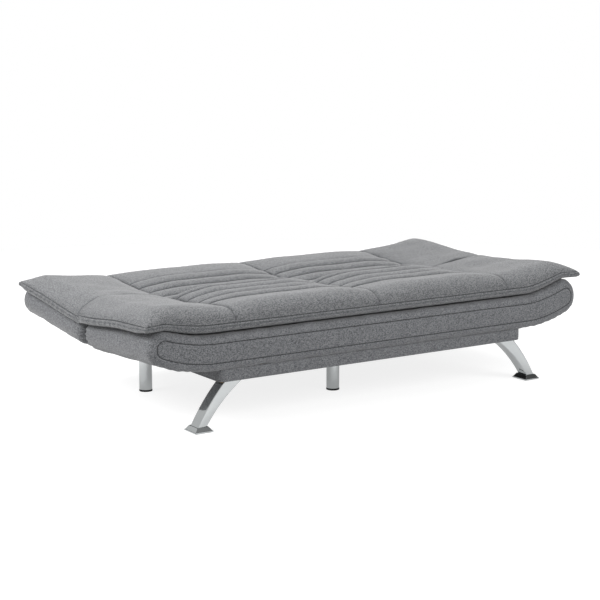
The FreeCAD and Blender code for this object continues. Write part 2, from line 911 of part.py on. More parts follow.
def front_leg_plate(mark):
    """Steel plate welded on top of a curved leg."""
    plate = block(*front_plate_limits(mark), (plinth_bottom, rail_bottom))
    return plate.cut(screw_holes(front_plate_screws(mark)))


def round_leg_plate(x, y):
    half = round_plate_side / 2
    plate = block((x - half, x + half), (y - half, y + half), (plinth_bottom, rail_bottom))
    return plate.cut(screw_holes(round_plate_screws(x, y)))


def plinth_ring(x_half, y0, y1, corner, z1):
    """Upright prism with rounded corners between the plinth's bottom and a height."""
    prism = block((-x_half, x_half), (y0, y1), (plinth_bottom, z1))
    upright = [edge for edge in prism.Edges if abs(edge.BoundBox.ZLength - (z1 - plinth_bottom)) < 0.01]
    return prism.makeFillet(corner, upright)


def plinth_cover():
    """Upholstered band round the plinth, cut on top to the V of the two halves."""
    tall = hinge_height
    y0, y1 = inner_plinth()
    outer = plinth_ring(plinth_half_length, plinth_front, plinth_rear, plinth_corner, tall)
    corner = plinth_corner - cover_thick
    inner = plinth_ring(plinth_half_length - cover_thick, y0, y1, corner, tall)
    profile = rail_profile(plinth_front - 1.0, plinth_rear + 1.0)
    profile[0] = (profile[0][0], 0.0)
    profile[1] = (profile[1][0], 0.0)
    below = plate_yz(profile, -2 * plinth_half_length, 2 * plinth_half_length)
    return outer.cut(inner).common(below)


def dust_cloth():
    """Thin cloth that closes the plinth from below, cut out round the leg plates."""
    y0, y1 = inner_plinth()
    half = plinth_half_length - plinth_corner
    low = rail_bottom - cloth_thick
    sheet = block((-half, half), (y0 + plinth_corner, y1 - plinth_corner), (low, rail_bottom))
    cuts = [grown(front_leg_plate(mark)) for mark in SIDES.values()]
    cuts += [grown(round_leg_plate(x, y)) for x, y in round_leg_places()]
    return sheet.cut(cuts)


def grown(plate):
    """Box round a plate with the clearance of a cut-out."""
    box = plate.BoundBox
    return block(
        (box.XMin - cut_gap, box.XMax + cut_gap),
        (box.YMin - cut_gap, box.YMax + cut_gap),
        (box.ZMin - cut_gap, box.ZMax + cut_gap),
    )


# Legs


def leg_face(inset, mark):
    """Side view of a curved leg between its outer and its inner arc, drawn in by an inset."""
    outer = [Vector(mark * (x - inset), 0, z) for x, z in leg_outer]
    inner = [Vector(mark * (x + inset), 0, z) for x, z in leg_inner]
    edges = [
        Part.Arc(*outer).toShape(),
        Part.makeLine(outer[2], inner[2]),
        Part.Arc(*reversed(inner)).toShape(),
        Part.makeLine(inner[0], outer[0]),
    ]
    return Part.Face(Part.Wire(edges))


def front_leg(mark):
    """Curved rectangular tube, open at both ends."""
    y0 = plinth_front + leg_setback
    solid = leg_face(0, mark).extrude(Vector(0, leg_depth, 0))
    hollow = leg_face(leg_wall * leg_wall_slant, mark).extrude(Vector(0, leg_depth - 2 * leg_wall, 0))
    hollow.translate(Vector(0, leg_wall, 0))
    leg = solid.cut(hollow)
    leg.translate(Vector(0, y0, 0))
    return leg


def foot_centre(mark):
    x = 0.5 * (leg_outer[-1][0] + leg_inner[-1][0])
    return mark * x, plinth_front + leg_setback + leg_depth / 2


def rectangle(x, y, z, length, width):
    points = [(-1, -1), (1, -1), (1, 1), (-1, 1), (-1, -1)]
    return Part.makePolygon([Vector(x + a * length / 2, y + b * width / 2, z) for a, b in points])


def front_foot(mark):
    """Foot plate: a flat flange under a low truncated pyramid."""
    x, y = foot_centre(mark)
    base = glide_thick
    flange = block(
        (x - foot_length / 2, x + foot_length / 2),
        (y - foot_width / 2, y + foot_width / 2),
        (base, base + foot_flange),
    )
    low = rectangle(x, y, base + foot_flange, foot_length - foot_bevel, foot_width - foot_bevel)
    high = rectangle(x, y, foot_height, foot_top_length, foot_top_width)
    return join([flange, Part.makeLoft([low, high], True, True)])


def front_glide(mark):
    x, y = foot_centre(mark)
    half_x = foot_length / 2 - glide_inset
    half_y = foot_width / 2 - glide_inset
    return block((x - half_x, x + half_x), (y - half_y, y + half_y), (0, glide_thick))


def round_leg(x, y):
    tube = rod(tube_radius, (x, y, cap_height), (x, y, plinth_bottom))
    return tube.cut(rod(tube_radius - tube_wall, (x, y, cap_height), (x, y, plinth_bottom)))


def round_cap(x, y):
    """End cap: a disc under the tube and a plug inside it."""
    disc = rod(tube_radius + cap_lip, (x, y, 0), (x, y, cap_height))
    plug = rod(tube_radius - tube_wall - slide_gap, (x, y, cap_height), (x, y, cap_height + cap_plug))
    return join([disc, plug])


# The nodes


def half_nodes(name, side):
    """Everything that belongs to one half, tilted the way it lies."""
    level = {
        "body_cover": body_cover(side),
        "piping": piping(side),
        "inner_board": inner_board(side),
        "outer_board": outer_board(side),
        "arm_ribs": group(arm_ribs(side)),
        "middle_ribs": group(middle_ribs(side)),
        "end_ribs": group(end_ribs(side)),
        "end_foam": end_foam(side),
        "foam_slab": foam_slab(side),
        "springs": group([spring(x, side) for x in spring_places()]),
        "spring_clips": spring_clips(side),
        "quilted_pad": pad(side),
    }
    return {name + "_" + key: tilted(shape, side) for key, shape in level.items()}


nodes = {}
nodes.update(half_nodes("seat", -1))
nodes.update(half_nodes("back", 1))
nodes["seat_arm_bolts"] = arm_bolts(-1)
nodes["back_arm_bolts"] = arm_bolts(1)
for word, mark in SIDES.items():
    nodes["seat_arm_" + word] = seat_arm(mark)
    nodes["back_arm_" + word] = back_arm(mark)
    nodes["pawl_" + word] = pawl(mark)
    nodes["hinge_bracket_" + word] = bracket(mark)
    nodes["pivot_pin_" + word] = pivot_pin(mark)
    nodes["plinth_end_rail_" + word] = end_rail(mark)
    nodes["front_leg_" + word] = front_leg(mark)
    nodes["front_foot_" + word] = front_foot(mark)
nodes["pawl_pins"] = group([pawl_pin(mark) for mark in SIDES.values()])
nodes["pawl_springs"] = group([leaf_spring(mark) for mark in SIDES.values()])
nodes["pivot_washers"] = group([ring for mark in SIDES.values() for ring in pivot_washers(mark)])
nodes["bracket_bolts"] = bracket_bolts()
nodes["plinth_front_rail"] = front_rail()
nodes["plinth_rear_rail"] = rear_rail()
nodes["plinth_centre_rail"] = centre_rail()
nodes["leg_blocks"] = group(leg_blocks())
nodes["plinth_cover"] = plinth_cover()
nodes["dust_cloth"] = dust_cloth()
nodes["front_leg_plates"] = group([front_leg_plate(mark) for mark in SIDES.values()])
nodes["front_foot_glides"] = group([front_glide(mark) for mark in SIDES.values()])
for word, place in zip(("rear_leg_left", "centre_leg", "rear_leg_right"), round_leg_places()):
    nodes[word] = round_leg(*place)
nodes["round_leg_plates"] = group([round_leg_plate(*place) for place in round_leg_places()])
nodes["round_leg_caps"] = group([round_cap(*place) for place in round_leg_places()])
nodes["leg_screws"] = leg_screws()

for name, shape in nodes.items():
    shape.exportStep("parts/" + name + ".step")
    litres = shape.Volume / 1e6
    print(f"{name:26s} solids {len(shape.Solids):3d}  valid {shape.isValid()}  volume {litres:.3f} l")
print("nodes", len(nodes))
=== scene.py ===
# %% [markdown]
# # A click clack sofa bed, lying flat as a bed
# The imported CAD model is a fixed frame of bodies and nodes. This notebook dresses it: it
# makes the quilted pad, the padded bodies, the chrome legs and all the finishes, each piece
# in metres and in the place that the CAD gives it.

# %% Load the frame
import json
import math
import bmesh
import bpy
import numpy as np
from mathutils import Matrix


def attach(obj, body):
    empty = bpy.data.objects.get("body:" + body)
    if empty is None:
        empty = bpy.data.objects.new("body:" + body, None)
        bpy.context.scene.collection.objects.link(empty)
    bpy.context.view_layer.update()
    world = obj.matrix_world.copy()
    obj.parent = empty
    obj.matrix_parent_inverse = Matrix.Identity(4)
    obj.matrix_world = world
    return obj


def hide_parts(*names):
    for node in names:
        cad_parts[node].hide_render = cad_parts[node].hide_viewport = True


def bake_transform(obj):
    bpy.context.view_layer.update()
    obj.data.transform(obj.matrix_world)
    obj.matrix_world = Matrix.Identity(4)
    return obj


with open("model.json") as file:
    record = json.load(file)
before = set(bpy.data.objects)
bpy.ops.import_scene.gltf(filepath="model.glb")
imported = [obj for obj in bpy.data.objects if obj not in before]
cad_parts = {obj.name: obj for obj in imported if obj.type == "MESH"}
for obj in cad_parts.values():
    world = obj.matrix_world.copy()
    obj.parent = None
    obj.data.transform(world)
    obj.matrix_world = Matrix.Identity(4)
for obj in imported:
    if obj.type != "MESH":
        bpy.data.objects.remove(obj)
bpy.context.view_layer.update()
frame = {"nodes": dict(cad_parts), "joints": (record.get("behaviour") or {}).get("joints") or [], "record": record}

# %% [markdown]
# ## The view
# The photograph shows the bed from its front left corner, a little from above. The place of
# the camera was found by matching the feet, the plinth and the seams, so one long lens with
# no shift gives the same perspective from every side.

# %% Camera
LENS_MM, LOOK_DOWN, LOOK_TURN = 94.5, 10.04, -33.46
camera_data = bpy.data.cameras.new("view")
camera_data.lens = LENS_MM
camera_data.sensor_width = 36.0
camera = bpy.data.objects.new("view", camera_data)
camera.location = (-3.41, -5.133, 1.414)
camera.rotation_euler = (math.radians(90 - LOOK_DOWN), 0, math.radians(LOOK_TURN))
bpy.context.scene.collection.objects.link(camera)
bpy.context.scene.camera = camera
bpy.context.scene.view_settings.view_transform = "Standard"
print("camera", tuple(camera.location))

# %% [markdown]
# ## Grids instead of hand modelling
# Every new piece is a surface with two parameters: a numpy array of points, one row per
# station. One helper turns such an array into a mesh. Points that lie in the same place,
# as at a pole or where two grids meet, are merged afterwards.

# %% Mesh helpers
SEAT, BACK = -1, 1
BODY = {SEAT: "seat", BACK: "back"}


def quads(shape, offset=0, wrap_rows=False, wrap_columns=False):
    """Corner numbers of a grid's faces: each point with its right, upper right and upper neighbour."""
    index = offset + np.arange(shape[0] * shape[1]).reshape(shape)
    if wrap_rows:
        index = np.vstack([index, index[:1]])
    if wrap_columns:
        index = np.hstack([index, index[:, :1]])
    corners = [index[:-1, :-1], index[1:, :-1], index[1:, 1:], index[:-1, 1:]]
    return np.stack([c.ravel() for c in corners], axis=1)


def make_piece(name, grids, material, body, merge=1e-5, shade_marks=None):
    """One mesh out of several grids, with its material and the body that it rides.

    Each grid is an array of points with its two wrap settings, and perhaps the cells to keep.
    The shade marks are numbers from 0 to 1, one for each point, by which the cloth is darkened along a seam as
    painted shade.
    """
    points, faces, count = [], [], 0
    for grid, wrap_rows, wrap_columns, *keep in grids:
        points.append(grid.reshape(-1, 3))
        cells = quads(grid.shape[:2], count, wrap_rows, wrap_columns)
        faces.append(cells[keep[0].ravel()] if keep else cells)
        count += grid.shape[0] * grid.shape[1]
    mesh = bpy.data.meshes.new(name)
    mesh.from_pydata(np.vstack(points).tolist(), [], np.vstack(faces).tolist())
    # Painted shade: the marks become a point attribute by which the cloth darkens along seams.
    if shade_marks:
        values = np.concatenate([mark.ravel() for mark in shade_marks]).astype(np.float32)
        mesh.attributes.new("stitch", "FLOAT", "POINT").data.foreach_set("value", values)
    form = bmesh.new()
    form.from_mesh(mesh)
    bmesh.ops.remove_doubles(form, verts=form.verts, dist=merge)
    bmesh.ops.dissolve_degenerate(form, dist=merge, edges=form.edges)
    bmesh.ops.recalc_face_normals(form, faces=form.faces)
    for face in form.faces:
        face.smooth = True
    form.to_mesh(mesh)
    form.free()
    piece = bpy.data.objects.new(name, mesh)
    bpy.context.scene.collection.objects.link(piece)
    mesh.materials.append(material)
    if body:
        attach(piece, body)
    triangles = sum(len(p.vertices) - 2 for p in mesh.polygons)
    print(f"{name}: {triangles} triangles")
    return piece


def smooth(low, high, value):
    """0 up to low, 1 from high on, and an S between: 3 t squared minus 2 t cubed."""
    t = np.clip((np.asarray(value, float) - low) / (high - low), 0, 1)
    return t * t * (3 - 2 * t)


def swell(distance, reach):
    """How stuffed fabric rises from a seam: a quarter of an ellipse, 0 at the seam and 1 at its reach."""
    t = np.clip(np.asarray(distance, float) / reach, 0, 1)
    return np.sqrt(1 - (1 - t) ** 2)


def dip(distance, width):
    """1 on a line and fading beside it: e to the minus square of the distance over the width."""
    return np.exp(-(distance / width) ** 2)


def ripples(a, b, seed, longest, shortest, count=26):
    """Quiet waviness of cloth: a sum of plane waves of random direction, length and phase."""
    draw = np.random.default_rng(seed)
    total = np.zeros(np.broadcast(a, b).shape)
    for turn, phase, share in zip(*draw.random((3, count))):
        wave = 2 * np.pi / (shortest + (longest - shortest) * share)
        way = 2 * np.pi * turn
        total += np.sin(wave * (a * np.cos(way) + b * np.sin(way)) + 2 * np.pi * phase)
    return total / math.sqrt(count / 2)


def rounded_corners(count):
    """Round a rectangle's four corners: cosine and sine at each point, and the signs of its corner."""
    turn = np.linspace(0, math.pi / 2, count)
    angle = (turn[None] + np.arange(4)[:, None] * math.pi / 2).ravel()
    sign = np.repeat([(1, 1), (-1, 1), (-1, -1), (1, -1)], count, axis=0)
    return np.cos(angle), np.sin(angle), sign


def lid(skin, row):
    """One ring of a skin drawn together in its middle, which closes that end."""
    return np.repeat(skin[row][None].mean(axis=1, keepdims=True), skin.shape[1], axis=1)


print("mesh helpers ready")

# %% [markdown]
# ## The lie of the two halves
# Seat and back are shaped level, with u as the distance from the crease, and then turned
# about the hinge line, as the CAD does. The sizes are the CAD's, in metres.

# %% Sizes and the level deck
HINGE_Z = next(j["pos_m"][2] for j in frame["joints"] if j["name"] == "back_recline")
TILT = {SEAT: math.radians(-2.5), BACK: math.radians(5.8)}
# The level body: its underside, top, depth and tip, and the two arcs that start at the bend.
BOTTOM, DECK, DEPTH, TIP = 0.1946, 0.3216, 0.525, 0.972
BEND, LOW_RADIUS, TOP_RADIUS = 0.710, 0.610, 0.640
# The pad: the cross seam at the wing, the tip, the depth, and the seam between channels and roll.
PANEL, PAD_TIP, PAD_DEPTH, ROLL_SEAM = 0.620, 0.982, 0.508, 0.309
LEFT_LIFT, RIGHT_LIFT = 0.004, 0.020


def round_end():
    """Centre and radius of the circle that touches both bends and reaches the tip, by halving."""
    low_z, top_z = BOTTOM + LOW_RADIUS, DECK + TOP_RADIUS

    def centre_z(radius):
        squares = LOW_RADIUS ** 2 - TOP_RADIUS ** 2 - low_z ** 2 + top_z ** 2
        return (squares - 2 * radius * (LOW_RADIUS + TOP_RADIUS)) / (2 * (top_z - low_z))

    def miss(radius):
        return math.hypot(TIP - radius - BEND, centre_z(radius) - low_z) - (LOW_RADIUS - radius)

    low, high = 0.2 * (DECK - BOTTOM), 0.8 * (DECK - BOTTOM)
    for _ in range(60):
        middle = 0.5 * (low + high)
        low, high = (low, middle) if miss(low) * miss(middle) <= 0 else (middle, high)
    return TIP - middle, centre_z(middle), middle


END_X, END_Z, END_RADIUS = round_end()
CREST_X = BEND + (END_X - BEND) * TOP_RADIUS / (TOP_RADIUS + END_RADIUS)
print("round end", round(END_X, 4), round(END_Z, 4), round(END_RADIUS, 4))


def deck(x):
    """Height of the body's top at x: flat, an arc upwards, then round the end and down a little."""
    along = np.abs(x)
    arc = DECK + TOP_RADIUS - np.sqrt(TOP_RADIUS ** 2 - np.clip(along - BEND, 0, CREST_X - BEND) ** 2)
    beyond = np.clip(along - END_X, 0, 0.75 * END_RADIUS)
    before = np.minimum(END_X - along, END_RADIUS)
    end = END_Z + np.sqrt(END_RADIUS ** 2 - np.where(along > END_X, beyond, before) ** 2)
    return np.where(along < CREST_X, arc, end)


def end_lift(x, u, side):
    """How much fuller the seat's ends stand than the plain outline: most at the right, to the front."""
    full = np.where(x < 0, LEFT_LIFT, RIGHT_LIFT) if side == SEAT else 0.0
    return full * smooth(0.70, 0.95, np.abs(x)) * (0.3 + 0.7 * smooth(0.05, 0.35, u))


def lie(points, side, meeting=False):
    """Level points turned about the hinge line. With meeting, points at the crease keep their y."""
    turned = np.array(points, float)
    y, z = points[..., 1], points[..., 2] - HINGE_Z
    cos, sin = math.cos(TILT[side]), math.sin(TILT[side])
    keep = 1 - smooth(0.0, 0.16, np.abs(y)) if meeting else 0.0
    turned[..., 1] = y * cos - z * sin * (1 - keep)
    turned[..., 2] = HINGE_Z + y * sin + z * cos
    return turned


# %% [markdown]
# ## A small language for shaders
# A node tree is easier to read as arithmetic. The class wraps one output socket: operators
# add Math nodes, and one method adds any other node with its settings and inputs.

# %% Shader helper
class Wire:
    """One output socket of a node tree, with arithmetic."""

    def __init__(self, tree, socket):
        self.tree, self.socket = tree, socket

    def node(self, kind, settings=None, out=0, **inputs):
        """Any node: its type, its settings first, then values or links by socket name or number."""
        node = self.tree.nodes.new(kind)
        for key, value in (settings or {}).items():
            setattr(node, key, value)
        for key, value in inputs.items():
            name = int(key[1:]) if key[0] == "_" else key.replace("_", " ")
            if isinstance(value, Wire):
                self.tree.links.new(value.socket, node.inputs[name])
            else:
                node.inputs[name].default_value = value
        return Wire(self.tree, node.outputs[out])

    def math(self, operation, *inputs):
        """A Math node with its operation and its inputs in order."""
        values = {"_" + str(n): value for n, value in enumerate(inputs)}
        return self.node("ShaderNodeMath", {"operation": operation}, **values)

    def __add__(self, other): return self.math("ADD", self, other)
    def __sub__(self, other): return self.math("SUBTRACT", self, other)
    def __rsub__(self, other): return self.math("SUBTRACT", other, self)
    def __mul__(self, other): return self.math("MULTIPLY", self, other)

    def sine(self):
        """The sine of this value."""
        return self.math("SINE", self)

    def step(self, low, high):
        """A soft threshold: 0 at low and 1 at high."""
        settings = {"interpolation_type": "SMOOTHSTEP"}
        return self.node("ShaderNodeMapRange", settings, Value=self, From_Min=low, From_Max=high)

    def mix(self, low, high):
        """A colour between two colours, by this value."""
        return self.node("ShaderNodeMix", {"data_type": "RGBA"}, out=2, _0=self, _6=low, _7=high)


def new_material(name, **constants):
    """An empty principled material, its object coordinates, and the call that feeds its sockets."""
    material = bpy.data.materials.new(name)
    material.use_nodes = True
    tree = material.node_tree
    shader = tree.nodes["Principled BSDF"]
    for key, value in constants.items():
        shader.inputs[key.replace("_", " ")].default_value = value
    place = Wire(tree, tree.nodes.new("ShaderNodeTexCoord").outputs["Object"])

    def feed(**links):
        """Links a value to each of the named sockets of the shader."""
        for key, value in links.items():
            tree.links.new(value.socket, shader.inputs[key.replace("_", " ")])

    return material, place, feed


def scaled(place, x, y, z):
    """The pattern's own coordinates: object coordinates stretched along each axis."""
    return place.node("ShaderNodeMapping", Vector=place, Scale=(x, y, z))


def grain(place, scale, detail=2.0, rough=0.5):
    """Soft noise from 0 to 1."""
    return place.node("ShaderNodeTexNoise", Vector=place, Scale=scale, Detail=detail, Roughness=rough)


def bump(height, strength, distance):
    """Height turned into a bent normal."""
    return height.node("ShaderNodeBump", Height=height, Strength=strength, Distance=distance)


print("shader helper ready")

# %% [markdown]
# ## Cloth
# The upholstery is a mid grey melange: dark and light yarns twisted together, so up close
# it is full of short flecks a few millimetres long, and from afar it is even. Two noises,
# one drawn out along the length and one across, stand for warp and weft. A fine one is the
# fluff, and a much larger one shades it softly. The bump follows the same flecks, so colour
# and relief agree. Where a mesh marks a sewn line, the cloth is darkened: painted shade in
# the groove, and a softer painted shadow beside it.

# %% Melange cloth
def melange(name, light, dark):
    """Cloth that goes from dark to light by its flecks and fluff, and below dark on a sewn line as painted shade.
    """
    material, place, feed = new_material(name, Roughness=0.92, Sheen_Weight=0.25, Sheen_Roughness=0.5,
                                         Specular_IOR_Level=0.2)
    warp = grain(scaled(place, 150, 480, 480), 1.0, 1.5, 0.6)
    weft = grain(scaled(place, 480, 150, 260), 1.0, 1.5, 0.6)
    fine = grain(place, 900.0, 1.0)
    cloud = grain(place, 7.0, 3.0)
    fleck = (warp * 0.5 + weft * 0.5).step(0.42, 0.58)
    tone = fleck * 0.78 + fine.step(0.35, 0.65) * 0.14 + cloud * 0.08
    # Painted shade: the cloth is darkened where the mesh marks a seam, for the shade in and beside its groove.
    stitch = place.node("ShaderNodeAttribute", {"attribute_name": "stitch"}, out=2)
    tone = tone * (1 - stitch * 0.85) - stitch * 0.25
    feed(Base_Color=tone.mix(dark, light))
    relief = warp * 0.4 + weft * 0.4 + fine * 0.2
    feed(Normal=bump(relief, 0.5, 0.0010))
    return material


pad_cloth = melange("pad_cloth", (0.205, 0.209, 0.214, 1), (0.048, 0.050, 0.054, 1))
body_cloth = melange("body_cloth", (0.200, 0.204, 0.212, 1), (0.058, 0.060, 0.065, 1))
# The cord's cloth is much darker than the body's: painted shade of the groove it lies in.
cord_cloth_painted_shade = melange("cord_cloth_painted_shade", (0.060, 0.062, 0.066, 1), (0.022, 0.023, 0.025, 1))
print("cloth", pad_cloth.name, body_cloth.name, cord_cloth_painted_shade.name)

# %% [markdown]
# ## The quilted pad
# The bed is one thick quilt in two halves, sewn together at the crease. Each half has a
# smooth wing, two panels and another smooth wing. A panel has a puffy roll along its outer
# edge and four narrow channels up to the crease. It could be blown up as cloth with
# pressure, but then every seam needs pins. Here the height of the top is written as a
# function of x and u: seams are lines where it comes down, and between them it rises like a
# quarter of an ellipse, which is what stuffing does.

# %% Where the grid lines go
def packed_lines(low, high, centres, step, fine, spread):
    """Places from low to high, spaced finely at the given centres and by step away from them."""
    line = np.linspace(low, high, 6001)
    near = np.min(np.abs(line[:, None] - np.array(centres)[None, :]), axis=1)
    spacing = fine + (step - fine) * smooth(0.0, spread, near)
    count = np.concatenate([[0.0], np.cumsum(np.diff(line) / spacing[:-1])])
    return np.interp(np.linspace(0, count[-1], int(round(count[-1])) + 1), count, line)


CHANNELS = ROLL_SEAM * np.arange(4, -1, -1) / 4.0
x_lines = packed_lines(-PAD_TIP, PAD_TIP, (-PAD_TIP, -PANEL, 0, PANEL, PAD_TIP),
                       step=0.0105, fine=0.0022, spread=0.035)
u_lines = packed_lines(0, PAD_DEPTH, (*CHANNELS, PAD_DEPTH), step=0.0062, fine=0.0020, spread=0.020)
print("pad grid", len(x_lines), "by", len(u_lines))


def profile(u, places, heights, blur=0.012):
    """A smooth curve through a few heights: straight lines between them, softened by a sliding bell."""
    pitch = 0.0005
    line = np.linspace(-0.1, 0.65, 1501)
    bell = np.exp(-0.5 * (np.linspace(-3, 3, int(6 * blur / pitch) | 1)) ** 2)
    rough = np.interp(line, places, heights)
    edge = len(bell) // 2
    soft = np.convolve(np.pad(rough, edge, mode="edge"), bell / bell.sum(), mode="valid")
    return np.interp(u, line, soft)


# %% Height of the top
# Over the deck, as places along u and the heights there: the cross seams, the middle of a
# panel and the middle of a wing. Then what the roll adds, the heights of the outer edge and
# of the tip, and the width over which the top falls to the edge.
STITCH_WIDTH = 0.0035
STUFFING = {
    SEAT: {
        "seam": ([0.0, 0.05, 0.20, 0.36, 0.51], [0.060, 0.064, 0.060, 0.076, 0.086]),
        "panel": ([0.0, 0.05, 0.20, 0.31, 0.51], [0.062, 0.099, 0.089, 0.087, 0.096]),
        "wing": ([0.0, 0.07, 0.22, 0.42, 0.51], [0.099, 0.099, 0.096, 0.102, 0.102]),
        "roll": 0.012, "edge": 0.037, "fall": 0.085, "tip": 0.030,
    },
    BACK: {
        "seam": ([0.0, 0.07, 0.14, 0.25, 0.51], [0.060, 0.046, 0.043, 0.038, 0.040]),
        "panel": ([0.0, 0.05, 0.16, 0.31, 0.51], [0.058, 0.051, 0.057, 0.061, 0.052]),
        "wing": ([0.0, 0.07, 0.20, 0.43, 0.51], [0.099, 0.094, 0.080, 0.071, 0.068]),
        "roll": 0.009, "edge": 0.034, "fall": 0.125, "tip": 0.028,
    },
}


def pad_top(x, u, side):
    """Height of the pad's top over the deck: the seams, plus what the stuffing adds between them."""
    fill = STUFFING[side]
    across = np.abs(x)
    inner = across < PANEL
    seam_gap = np.where(inner, np.minimum(across, PANEL - across), across - PANEL)
    rise = 0.55 * swell(seam_gap, 0.065) + 0.45 * smooth(0.0, 0.17, seam_gap)
    low = profile(u, *fill["seam"])
    spot = np.clip(u / (ROLL_SEAM / 4), 0, 4 - 1e-9)
    share = spot - np.floor(spot)
    channel = np.where(u < ROLL_SEAM, np.sin(np.pi * share) ** 0.45, 0)
    roll = np.where(u >= ROLL_SEAM, swell(u - ROLL_SEAM, 0.055), 0)
    quilt = 0.0160 * channel * (0.25 + 0.75 * rise) + fill["roll"] * roll * (0.15 + 0.85 * rise)
    panel = low + (profile(u, *fill["panel"]) - low) * rise + quilt
    wing = low + (profile(u, *fill["wing"]) - low) * rise
    top = np.where(inner, panel, wing)
    stitched = 0.0035 * dip(seam_gap, STITCH_WIDTH)
    stitched = stitched + np.where(inner, 0.003 * dip(u - ROLL_SEAM, STITCH_WIDTH), 0)
    crease = np.where(inner, 0.015 * np.exp(-u / 0.012), 0.005 * np.exp(-u / 0.005)) * (0.4 + 0.6 * rise)
    front = swell(PAD_DEPTH - u, fill["fall"])
    end = swell(PAD_TIP - across, 0.21)
    edge = fill["edge"] + (fill["tip"] - fill["edge"]) * smooth(0.80, 0.97, across)
    crumple = np.where(inner, 0.0004, 0.0012) * ripples(x, u, 7 + side, 0.26, 0.10)
    gather = 0.0011 * np.sin(2 * np.pi * x / 0.027 + 3 * np.sin(9 * x)) * np.exp(-(PAD_DEPTH - u) / 0.05)
    relief = (crumple + gather) * (0.35 + 0.65 * rise)
    inside = top - stitched - crease + relief - 1.1 * end_lift(x, u, side)
    return edge + (inside - edge) * front * end


def pad_stitch(x, u):
    """1 on a sewn line, for painted shade in the groove, and fading over a few millimetres into a softer painted
    shadow beside it.
    """
    across = np.abs(x)
    cross = np.minimum(across, np.abs(across - PANEL))
    along = np.min(np.abs(u[..., None] - CHANNELS), axis=-1)
    along = np.where(across < PANEL, along, np.abs(u))
    cross = cross + 0.004 * smooth(0.36, 0.44, u)
    near = np.minimum(cross, along)
    # Painted shade: a narrow dark line in the groove and a wider, fainter painted shadow beside it.
    return 0.65 * dip(near, 0.0038) + 0.35 * dip(near, 0.013)


# %% The pad's closed surface
# The band between top and underside goes down in these shares, past three sewn lines.
BAND = np.array([0.0, 0.05, 0.12, 0.24, 0.40, 0.56, 0.72, 0.84, 0.92, 1.0])
TOP_LINE, MIDDLE_LINE, LOW_LINE = 0.05, 0.40, 0.92


def pad_outline(u, x):
    """How far the pad's outer edge stands out: its corners are small ears, and its ends are straight."""
    across = smooth(0.80, PAD_TIP, np.abs(x))
    return u + 0.014 * across ** 2 * (u / PAD_DEPTH) ** 4


def pad_bottom(x, u):
    """Underside over the deck: it lies on it, and is hollowed at the crease so that the bed can fold."""
    hollow = 0.040 * smooth(0.100, 0.060, u) * smooth(0.93, 0.86, np.abs(x))
    return 0.0012 + hollow + 0.0070 * smooth(0.44, 0.50, u)


def pad_droop(x, u, side):
    """Extra sag of the ends beyond the body's crest, most near the crease, and slack at the left."""
    end = smooth(0.84, PAD_TIP, np.abs(x))
    near, far, left = {SEAT: (0.015, 0.003, 0.004), BACK: (0.012, 0.006, 0.010)}[side]
    slack = np.where(x < 0, left, 0.0) * smooth(0.70, 0.93, -x)
    return end * (near + (far - near) * smooth(0.05, 0.34, u)) + slack


def band_bulge():
    """How far the band stands out on its way down: an arch, drawn in at the three sewn lines."""
    arch = 0.0075 * np.sin(np.pi * np.clip((BAND - 0.05) / 0.9, 0, 1)) ** 0.6
    bulge = arch - 0.0030 * dip(BAND - TOP_LINE, 0.03)
    bulge = bulge - 0.0014 * dip(BAND - MIDDLE_LINE, 0.05)
    return bulge - 0.0020 * dip(BAND - LOW_LINE, 0.03) - 0.0045 * (BAND == 1.0)


def rim_of(grid):
    """The four edges of a grid in one ring, as views: outer edge, right end, crease and left end."""
    return [grid[:, -1], grid[-1, -2::-1], grid[-2::-1, 0], grid[0, 1:-1]]


def outwards(ring, side):
    """Level directions away from the pad at its ends and its outer edge, and none at the crease."""
    out = np.zeros_like(ring)
    out[:, 0] = np.sign(ring[:, 0]) * smooth(PAD_TIP - 0.012, PAD_TIP, np.abs(ring[:, 0]))
    out[:, 1] = side * smooth(PAD_DEPTH - 0.012, PAD_DEPTH, np.abs(ring[:, 1]))
    out *= smooth(0.0, 0.05, np.abs(ring[:, 1]))[:, None]
    return out / np.maximum(np.linalg.norm(out, axis=1), 1.0)[:, None]


def quilted_pad(side):
    """Top grid, band rings round it and a bottom grid, all in the level frame, then laid on the tilt."""
    x, u = np.meshgrid(x_lines, u_lines, indexing="ij")
    place = pad_outline(u, x)
    level = deck(np.minimum(np.abs(x), END_X)) + end_lift(x, u, side) - pad_droop(x, u, side)
    top = np.stack([x, side * place, level + pad_top(x, u, side)], axis=-1)
    under = np.stack([x, side * place, level + pad_bottom(x, u)], axis=-1)
    high, low = np.vstack(rim_of(top)), np.vstack(rim_of(under))
    run = np.cumsum(np.linalg.norm(np.diff(high, axis=0, prepend=high[:1]), axis=1))
    wobble = 0.0012 * np.sin(2 * np.pi * run / 0.043 + 2 * np.sin(run * 17))
    shift = band_bulge()[:, None] + wobble[None, :] * np.sin(np.pi * BAND)[:, None]
    share = BAND[:, None, None]
    band = high[None] * (1 - share) + low[None] * share + outwards(high, side)[None] * shift[..., None]
    cuts = np.cumsum([len(edge) for edge in rim_of(under)])[:-1]
    for edge, moved in zip(rim_of(under), np.split(band[-1], cuts)):
        edge[...] = moved
    grids = [(lie(grid, side, meeting=True), False, closed)
             for grid, closed in ((top, False), (band, True), (under, False))]
    # Painted shade along the band's upper and middle sewn lines.
    band_seam_shade = dip(BAND - TOP_LINE, 0.05) + 0.4 * dip(BAND - MIDDLE_LINE, 0.05)
    seam_shading = [pad_stitch(x, u), band_seam_shade[:, None] * np.ones(len(high)), 0 * x]
    pad = make_piece("quilt_" + BODY[side], grids, pad_cloth, None, shade_marks=seam_shading)
    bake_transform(pad)
    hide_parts(BODY[side] + "_quilted_pad")


for half in (SEAT, BACK):
    quilted_pad(half)

